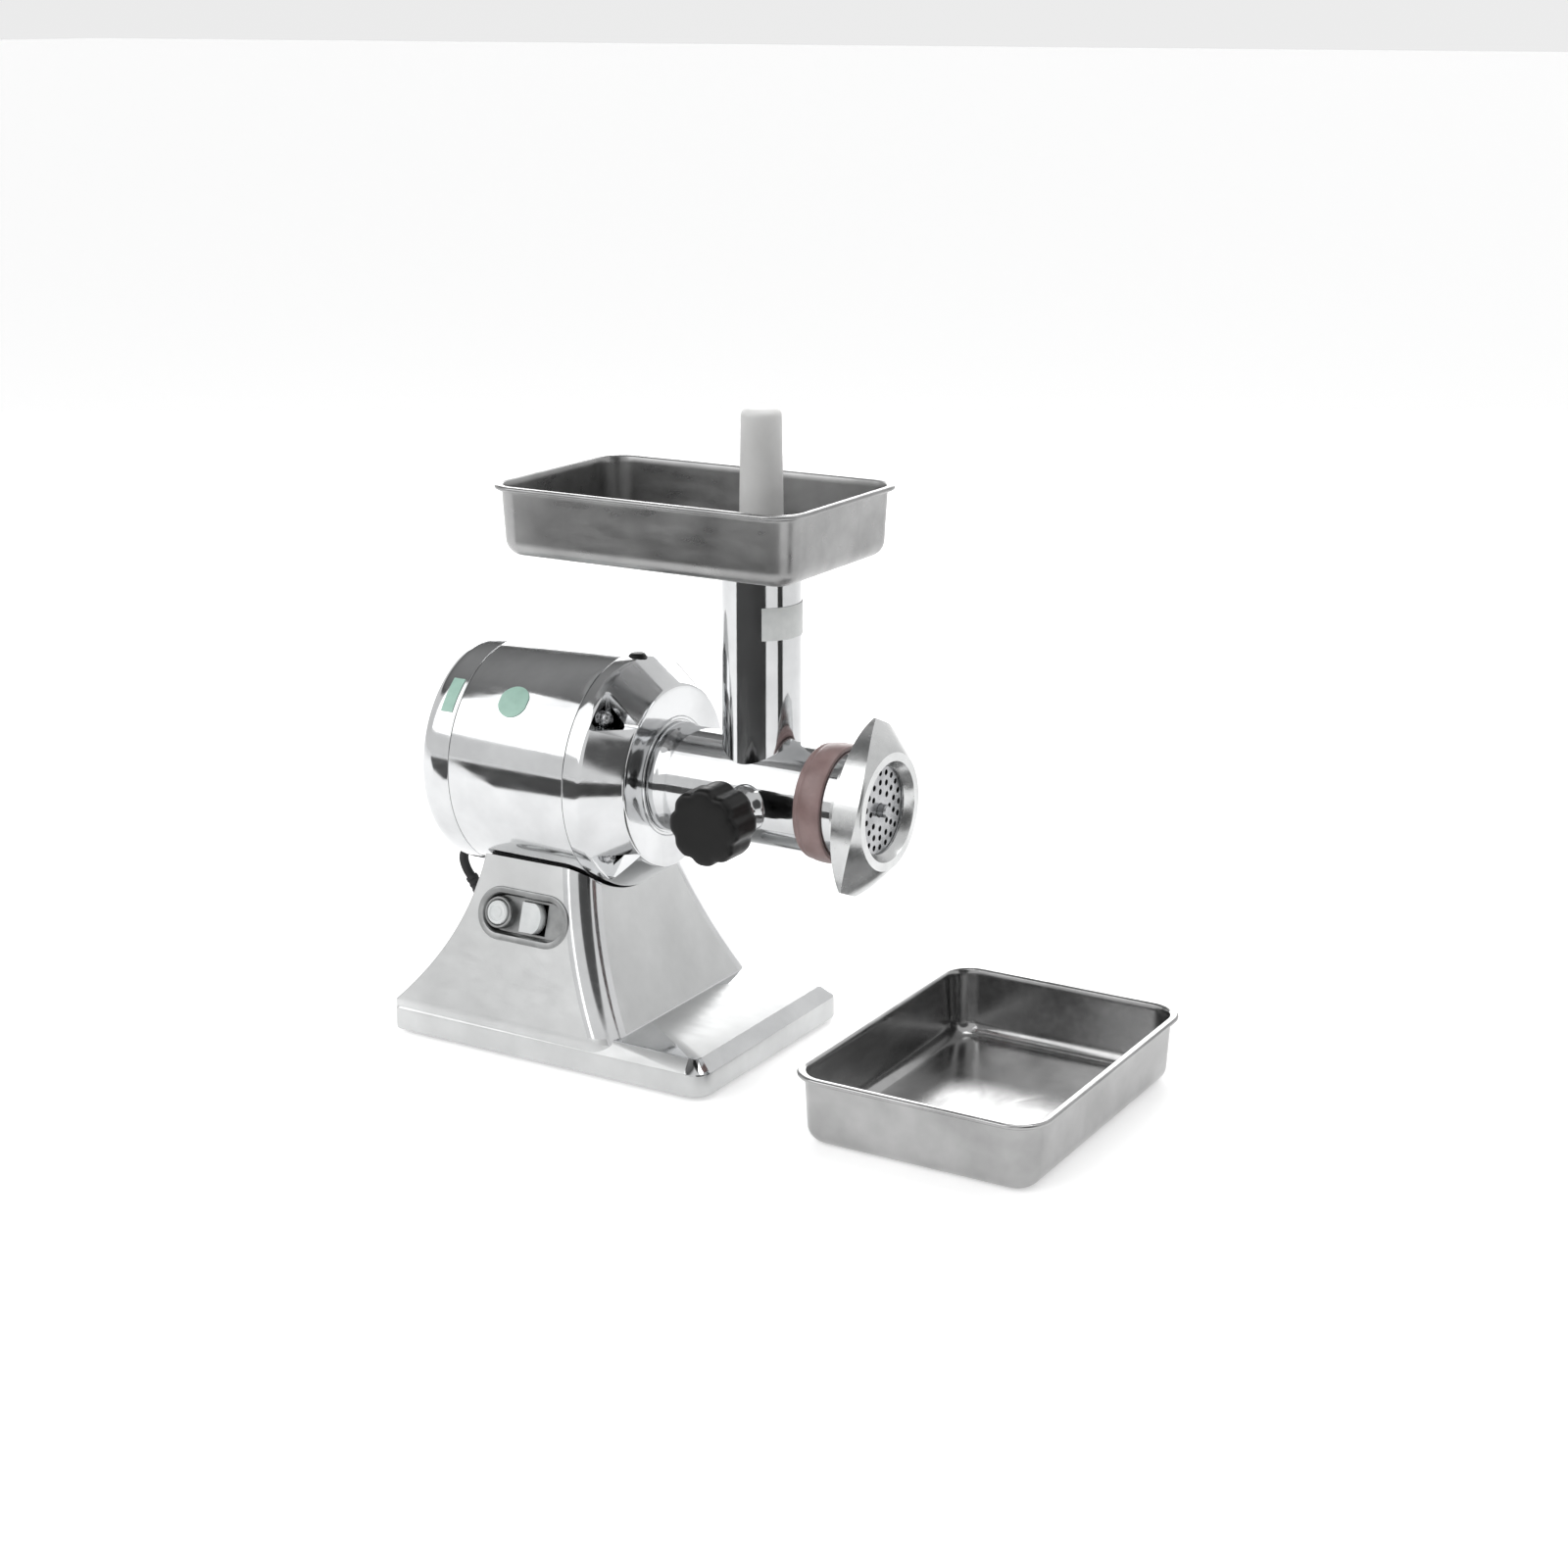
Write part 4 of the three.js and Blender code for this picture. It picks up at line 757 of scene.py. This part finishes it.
carved(head, ("UNION", loose("neck", neck_out)), ("UNION", loose("boss", boss_out)),
       ("DIFFERENCE", loose("bore", barrel_bore)), ("DIFFERENCE", loose("neck_bore", neck_bore)),
       ("DIFFERENCE", loose("stud_hole", stud_hole)), ("DIFFERENCE", loose("key_slot", key_slot)))
head.name = "grinding_head"
finished(head, polished_upright, "machine", ["head_casting"], 25)


def lobes(angle):
    """Eight broad lobes with narrow valleys: a sharpened cosine taken off a circle."""
    return 1 - 0.085 * ((1 - np.cos(8 * angle)) / 2) ** 2.2


knob_profile = softened([[0, -94.8], [16, -94.8], [25.4, -94.8], [27.5, -91.5], [27.5, -68], [24, -62.2],
                         [10, -62.2], [9, -62.2], [0, -62.2]], [0, 1, 3, 2.4, 3, 2.4, 1, 1, 0], 6,
                        closed=False)
knob = loose("knob", turned(knob_profile, "y", KNOB_CENTRE, 256, lobes))
carved(knob, ("DIFFERENCE", loose("stud_seat", rod(STUD_HOLE_R, -76, -60, "y", KNOB_CENTRE, 32))))
knob.name = "lobed_knob"
finished(knob, phenolic, "knob", ["clamp_knob"], 32)

guard_loop = softened([[38.7, 48], [39.8, 48], [41.2, 49.8], [40.4, 52.2], [41.9, 54], [42.5, 60],
                       [42.2, 66], [41, 69.4], [38.7, 69.4]], [0.3, 0.6, 1.0, 1.0, 1.4, 2, 2, 1, 0.3], 5)
piece("silicone_band", turned(guard_loop, segments=128), silicone, "machine", ["guard_ring"])

# ------------------------------------------------------------------ plate and ring nut
PLATE_X0, PLATE_X1 = 87.6, 95.0
PLATE_R = 35.0
HOLE_R, PIN_HOLE_R = 2.15, 5.2
HOLE_ROWS = ((13.2, 8), (19.8, 14), (26.6, 20))
plate_profile = softened([[0, PLATE_X0], [PLATE_R, PLATE_X0], [PLATE_R, PLATE_X1], [0, PLATE_X1]], 0.4, 3,
                         closed=False)
plate = loose("plate", turned(plate_profile))
holes = []
for row, (row_r, count) in enumerate(HOLE_ROWS):
    for k in range(count):
        angle = TURN * (k + row / 2) / count
        centre = (0, row_r * math.cos(angle), AXIS_Z + row_r * math.sin(angle))
        holes.append(rod(HOLE_R, 80, 100, "x", centre, 18))
carved(plate, ("DIFFERENCE", loose("holes", merged(*holes))),
       ("DIFFERENCE", loose("pin_hole", rod(PIN_HOLE_R, 80, 100))),
       ("DIFFERENCE", loose("notch", block(80, 100, -KEY_HALF, KEY_HALF, AXIS_Z - 37, AXIS_Z - 33.1))))
plate.name = "mincing_plate"
finished(plate, tool_steel, "plate_set", ["perforated_plate"], 28)

NUT_TIP, NUT_TIP_HALF, NUT_WAIST, NUT_LEAN, NUT_TILT = 61.5, 11.0, 44.0, math.radians(67), 0.94


def eye_outline(steps=60):
    """Two arcs of one radius facing each other, cut off square at the tips and leant to the side."""
    offset = (NUT_TIP ** 2 + NUT_TIP_HALF ** 2 - NUT_WAIST ** 2) / (2 * (NUT_WAIST - NUT_TIP_HALF))
    arc_r = offset + NUT_WAIST
    reach = math.asin(NUT_TIP / arc_r)
    a = np.linspace(reach, -reach, steps)
    arc = np.column_stack([arc_r * np.sin(a), arc_r * np.cos(a) - offset])
    outline = np.vstack([arc, -arc])
    c, s = math.cos(NUT_LEAN), math.sin(NUT_LEAN)
    return outline @ np.array([[c, s], [-s, c]])


def cone_x(x, r):
    """x of a cone's surface at radius r, where it stands at the given x at 42 mm."""
    return x - NUT_TILT * (r - 42)


def eye_at(x):
    """The nut's outline stood up across the axis at x."""
    outline = eye_outline()
    return np.column_stack([np.full(len(outline), x), outline[:, 0], AXIS_Z + outline[:, 1]])


nut = loose("nut", skin([eye_at(50), eye_at(110)]))
sweep = turned([[0, 78], [41.4, 78], [41.4, 82], [59, 82], [64, cone_x(102.6, 64)], [42.6, 102.4],
                [41.6, 103], [0, 103]], segments=160)
nut_bore = turned([[0, 70], [38.7, 70], [38.7, 95.3], [31, 95.3], [31, 97], [31.6, 97.6], [35.2, 102.4],
                   [36, 104], [0, 104]])
carved(nut, ("INTERSECT", loose("sweep", sweep)), ("DIFFERENCE", loose("nut_bore", nut_bore)))
nut.name = "lugged_ring_nut"
finished(nut, machined, "nut", ["ring_nut"], 24)
rounded_edges(nut, 1.0, 3, 24)


# ------------------------------------------------------------------ tray, pan and pusher
def pressed_pan(rear, front, half, bottom, top, floor_r=12.0, corner_r=25.0, sheet=1.4):
    """A sheet pan as level loops with round corners: up the outside round a quarter-circle floor edge and a
    slightly leaning wall, out under the rolled rim, over it, and down the inside."""
    def ring(inset, z):
        radius = max(1.5, corner_r - inset)
        return at_height(level_loop(rear + inset, front - inset, half - inset, radius, radius, steps=16), z)
    a = np.linspace(0, np.pi / 2, 9)
    foot = 7.0
    wall = 5.0

    def floor_edge(inset, radius, z, angles):
        return [(inset + radius * (1 - math.sin(t)), z + radius * (1 - math.cos(t))) for t in angles]
    outside = floor_edge(foot, floor_r, bottom, a)
    inside = floor_edge(foot + sheet, floor_r - sheet, bottom + sheet, a[::-1])
    bend = [(wall + 0.2, top - 6), (wall - 0.2, top - 4.4), (wall - 1.2, top - 3.4)]
    roll = [(1.7 - 1.7 * math.sin(t), top - 1.7 - 1.7 * math.cos(t)) for t in np.linspace(0, np.pi, 9)]
    lip = [(wall - 0.6, top), (wall + 0.8, top - 0.6), (wall + sheet, top - 2.0),
           (wall + sheet + 0.2, top - 5)]
    return skin([ring(*p) for p in outside + bend + roll + lip + inside])


tray = loose("tray", pressed_pan(TRAY_REAR, TRAY_FRONT, TRAY_HALF, TRAY_BOTTOM, TRAY_TOP))
spout = rod(25, 346, 367, "z", ON_NECK, 96)
spout_bore = turned([[0, 340], [23.8, 340], [23.8, 366.6], [24.6, 368.4], [0, 368.4]], "z", ON_NECK, 96)
carved(tray, ("UNION", loose("spout", spout)), ("DIFFERENCE", loose("spout_bore", spout_bore)))
tray.name = "loading_tray"
finished(tray, sheet_steel, "tray", ["feed_tray"], 30)
piece("mince_pan", pressed_pan(PAN_REAR, PAN_FRONT, PAN_HALF, 0, PAN_TOP), pan_steel, "pan", ["catch_pan"],
      30)
pusher_profile = softened([[0, 238], [21.6, 238], [22.6, 239], [22.6, 248], [14.6, 256], [15.3, 300],
                           [15.3, 400], [14.3, 462], [14.0, 473], [0, 473]],
                          [0, 1, 1, 2, 4, 8, 20, 6, 6.2, 0], 8, closed=False)
piece("meat_pusher", turned(pusher_profile, "z", ON_NECK, 96), polyethylene, "pusher_stick", ["pusher"])


# ------------------------------------------------------------------ blank stickers
def motor_sticker(x, angle, half_x, half_arc, round_shape, lift=0.25, proud=0.3):
    """A thin sheet wrapped on the motor. A round one's half arc at each place along X is the root of one
    minus the square of that place's share of the half width; the other's is constant. Angles are arc
    lengths over the motor's radius."""
    s = np.linspace(-1, 1, 41)
    limit = np.sqrt(np.clip(1 - s ** 2, 0, 1)) if round_shape else np.ones_like(s)
    theta = angle + half_arc * limit[:, None] * s[None, :] / MOTOR_R
    along = np.broadcast_to((x + half_x * s)[:, None], theta.shape)

    def sheet(r):
        return np.stack([along, -r * np.cos(theta), AXIS_Z + r * np.sin(theta)], -1)
    low, high = sheet(MOTOR_R + lift), sheet(MOTOR_R + lift + proud)
    loop = np.concatenate([low, high[:, ::-1]], axis=1)
    return skin(loop[1:-1] if round_shape else loop)


piece("round_sticker", motor_sticker(-168.3, math.radians(41.8), 12.4, 12.4, True), mint_paper, "machine",
      ["shell_label"])
piece("cap_sticker", motor_sticker(-221.5, math.radians(40.5), 5.0, 13.5, False), mint_paper, "machine", [])


def neck_sticker():
    """A sheet wrapped round the outlet side of the neck: at each angle, its section of radius and height."""
    a = np.linspace(-1.03, 1.03, 61)[:, None]
    profile = softened([[28.2, 317], [28.5, 317], [28.5, 340], [28.2, 340]], 0.1, 2)
    r, z = profile[:, 0][None, :], profile[:, 1][None, :]
    return skin(np.stack([r * np.cos(a), r * np.sin(a), np.broadcast_to(z, (len(a), len(profile)))], -1))


piece("neck_sticker", neck_sticker(), paper, "machine", ["neck_label"])

# ------------------------------------------------------------------ floor, world and lights
def staged_sheet(name, material_name, verts, faces, shader):
    """A flat sheet of the set, in metres, with its own plain material."""
    mesh = bpy.data.meshes.new(name)
    mesh.from_pydata(verts, [], faces)
    linked(name, mesh)
    material = bpy.data.materials.new(material_name)
    material.use_nodes = True
    bsdf = material.node_tree.nodes["Principled BSDF"]
    for key, value in shader.items():
        bsdf.inputs[key].default_value = value
    mesh.materials.append(material)


def floor_card(name, az0, az1, r0, r1, level):
    """A dark flat sector on the floor, which the metal reflects: from one radius to another, between two
    angles measured from the camera's direction."""
    a = np.linspace(math.radians(az0), math.radians(az1), 24) + CAMERA_AZ - math.pi / 2
    ring = np.stack([np.cos(a), np.sin(a), np.zeros_like(a)], -1)
    verts = np.vstack([ring * r0, ring * r1]) + [0, 0, 0.002]
    n = len(a)
    faces = [(i, i + 1, n + i + 1, n + i) for i in range(n - 1)]
    staged_sheet(name, name, verts.tolist(), faces, {"Base Color": grey(level), "Roughness": 0.8})


FLOOR_HALF = 40
floor_corners = [(-FLOOR_HALF, -FLOOR_HALF, 0), (FLOOR_HALF, -FLOOR_HALF, 0), (FLOOR_HALF, FLOOR_HALF, 0),
                 (-FLOOR_HALF, FLOOR_HALF, 0)]
staged_sheet("floor", "white_board", floor_corners, [(0, 1, 2, 3)],
             {"Base Color": linear("#f4f4f4"), "Roughness": 0.7, "Emission Color": grey(1.0),
              "Emission Strength": 0.4})
floor_card("dark_mat", -76, 12, 0.78, 5.5, 0.02)
floor_card("dark_strip", 46, 62, 0.78, 5.5, 0.02)

world = bpy.data.worlds.new("studio")
bpy.context.scene.world = world
world.use_nodes = True
sky = world.node_tree
sky.nodes.clear()
direction = node(sky, "ShaderNodeTexCoord").outputs["Generated"]


def toward(way):
    """Cosine of the angle between each direction of the sky and the given one."""
    return node(sky, "ShaderNodeVectorMath", {"operation": "DOT_PRODUCT"}, {0: direction},
                {1: Vector(way).normalized()}).outputs["Value"]


# The motor's top reflects a dark card overhead. The pedestal's front corner reflects a dark flag to the
# right of the camera.
sky_colour = ramp(sky, toward((-0.49, 0.22, 0.84)),
                  [(0.0, grey(1.0)), (0.80, grey(0.95)), (0.835, grey(0.10)), (0.87, grey(0.2)),
                   (1.0, grey(0.36))])
flag_colour = ramp(sky, toward((0.806, -0.504, 0.309)),
                   [(0.0, grey(1.0)), (0.9, grey(1.0)), (0.925, grey(0.14)), (1.0, grey(0.1))])
both = node(sky, "ShaderNodeMix", {"data_type": "RGBA", "blend_type": "MULTIPLY"},
            {"A": sky_colour, "B": flag_colour}, {"Factor": 1.0}).outputs["Result"]
background = node(sky, "ShaderNodeBackground", links={"Color": both}, values={"Strength": 0.86})
node(sky, "ShaderNodeOutputWorld", links={"Surface": background.outputs["Background"]})


def softbox(name, where, target, size, power):
    """A rectangular area light at one place in millimetres, aimed at another. Its size is in metres."""
    data = bpy.data.lights.new(name, "AREA")
    data.shape = "RECTANGLE"
    data.size, data.size_y = size
    data.energy = power
    lamp = bpy.data.objects.new(name, data)
    lamp.location = place(where)
    lamp.rotation_euler = (Vector(place(target)) - lamp.location).to_track_quat("-Z", "Y").to_euler()
    bpy.context.scene.collection.objects.link(lamp)


softbox("key_light", (-1100, -1700, 1800), (-60, 0, 180), (2.4, 2.0), 22)
softbox("back_light", (-1500, 2500, 950), (0, 0, 120), (2.6, 1.3), 32)
softbox("top_light", (100, 500, 1900), (0, 0, 100), (1.2, 0.8), 9)
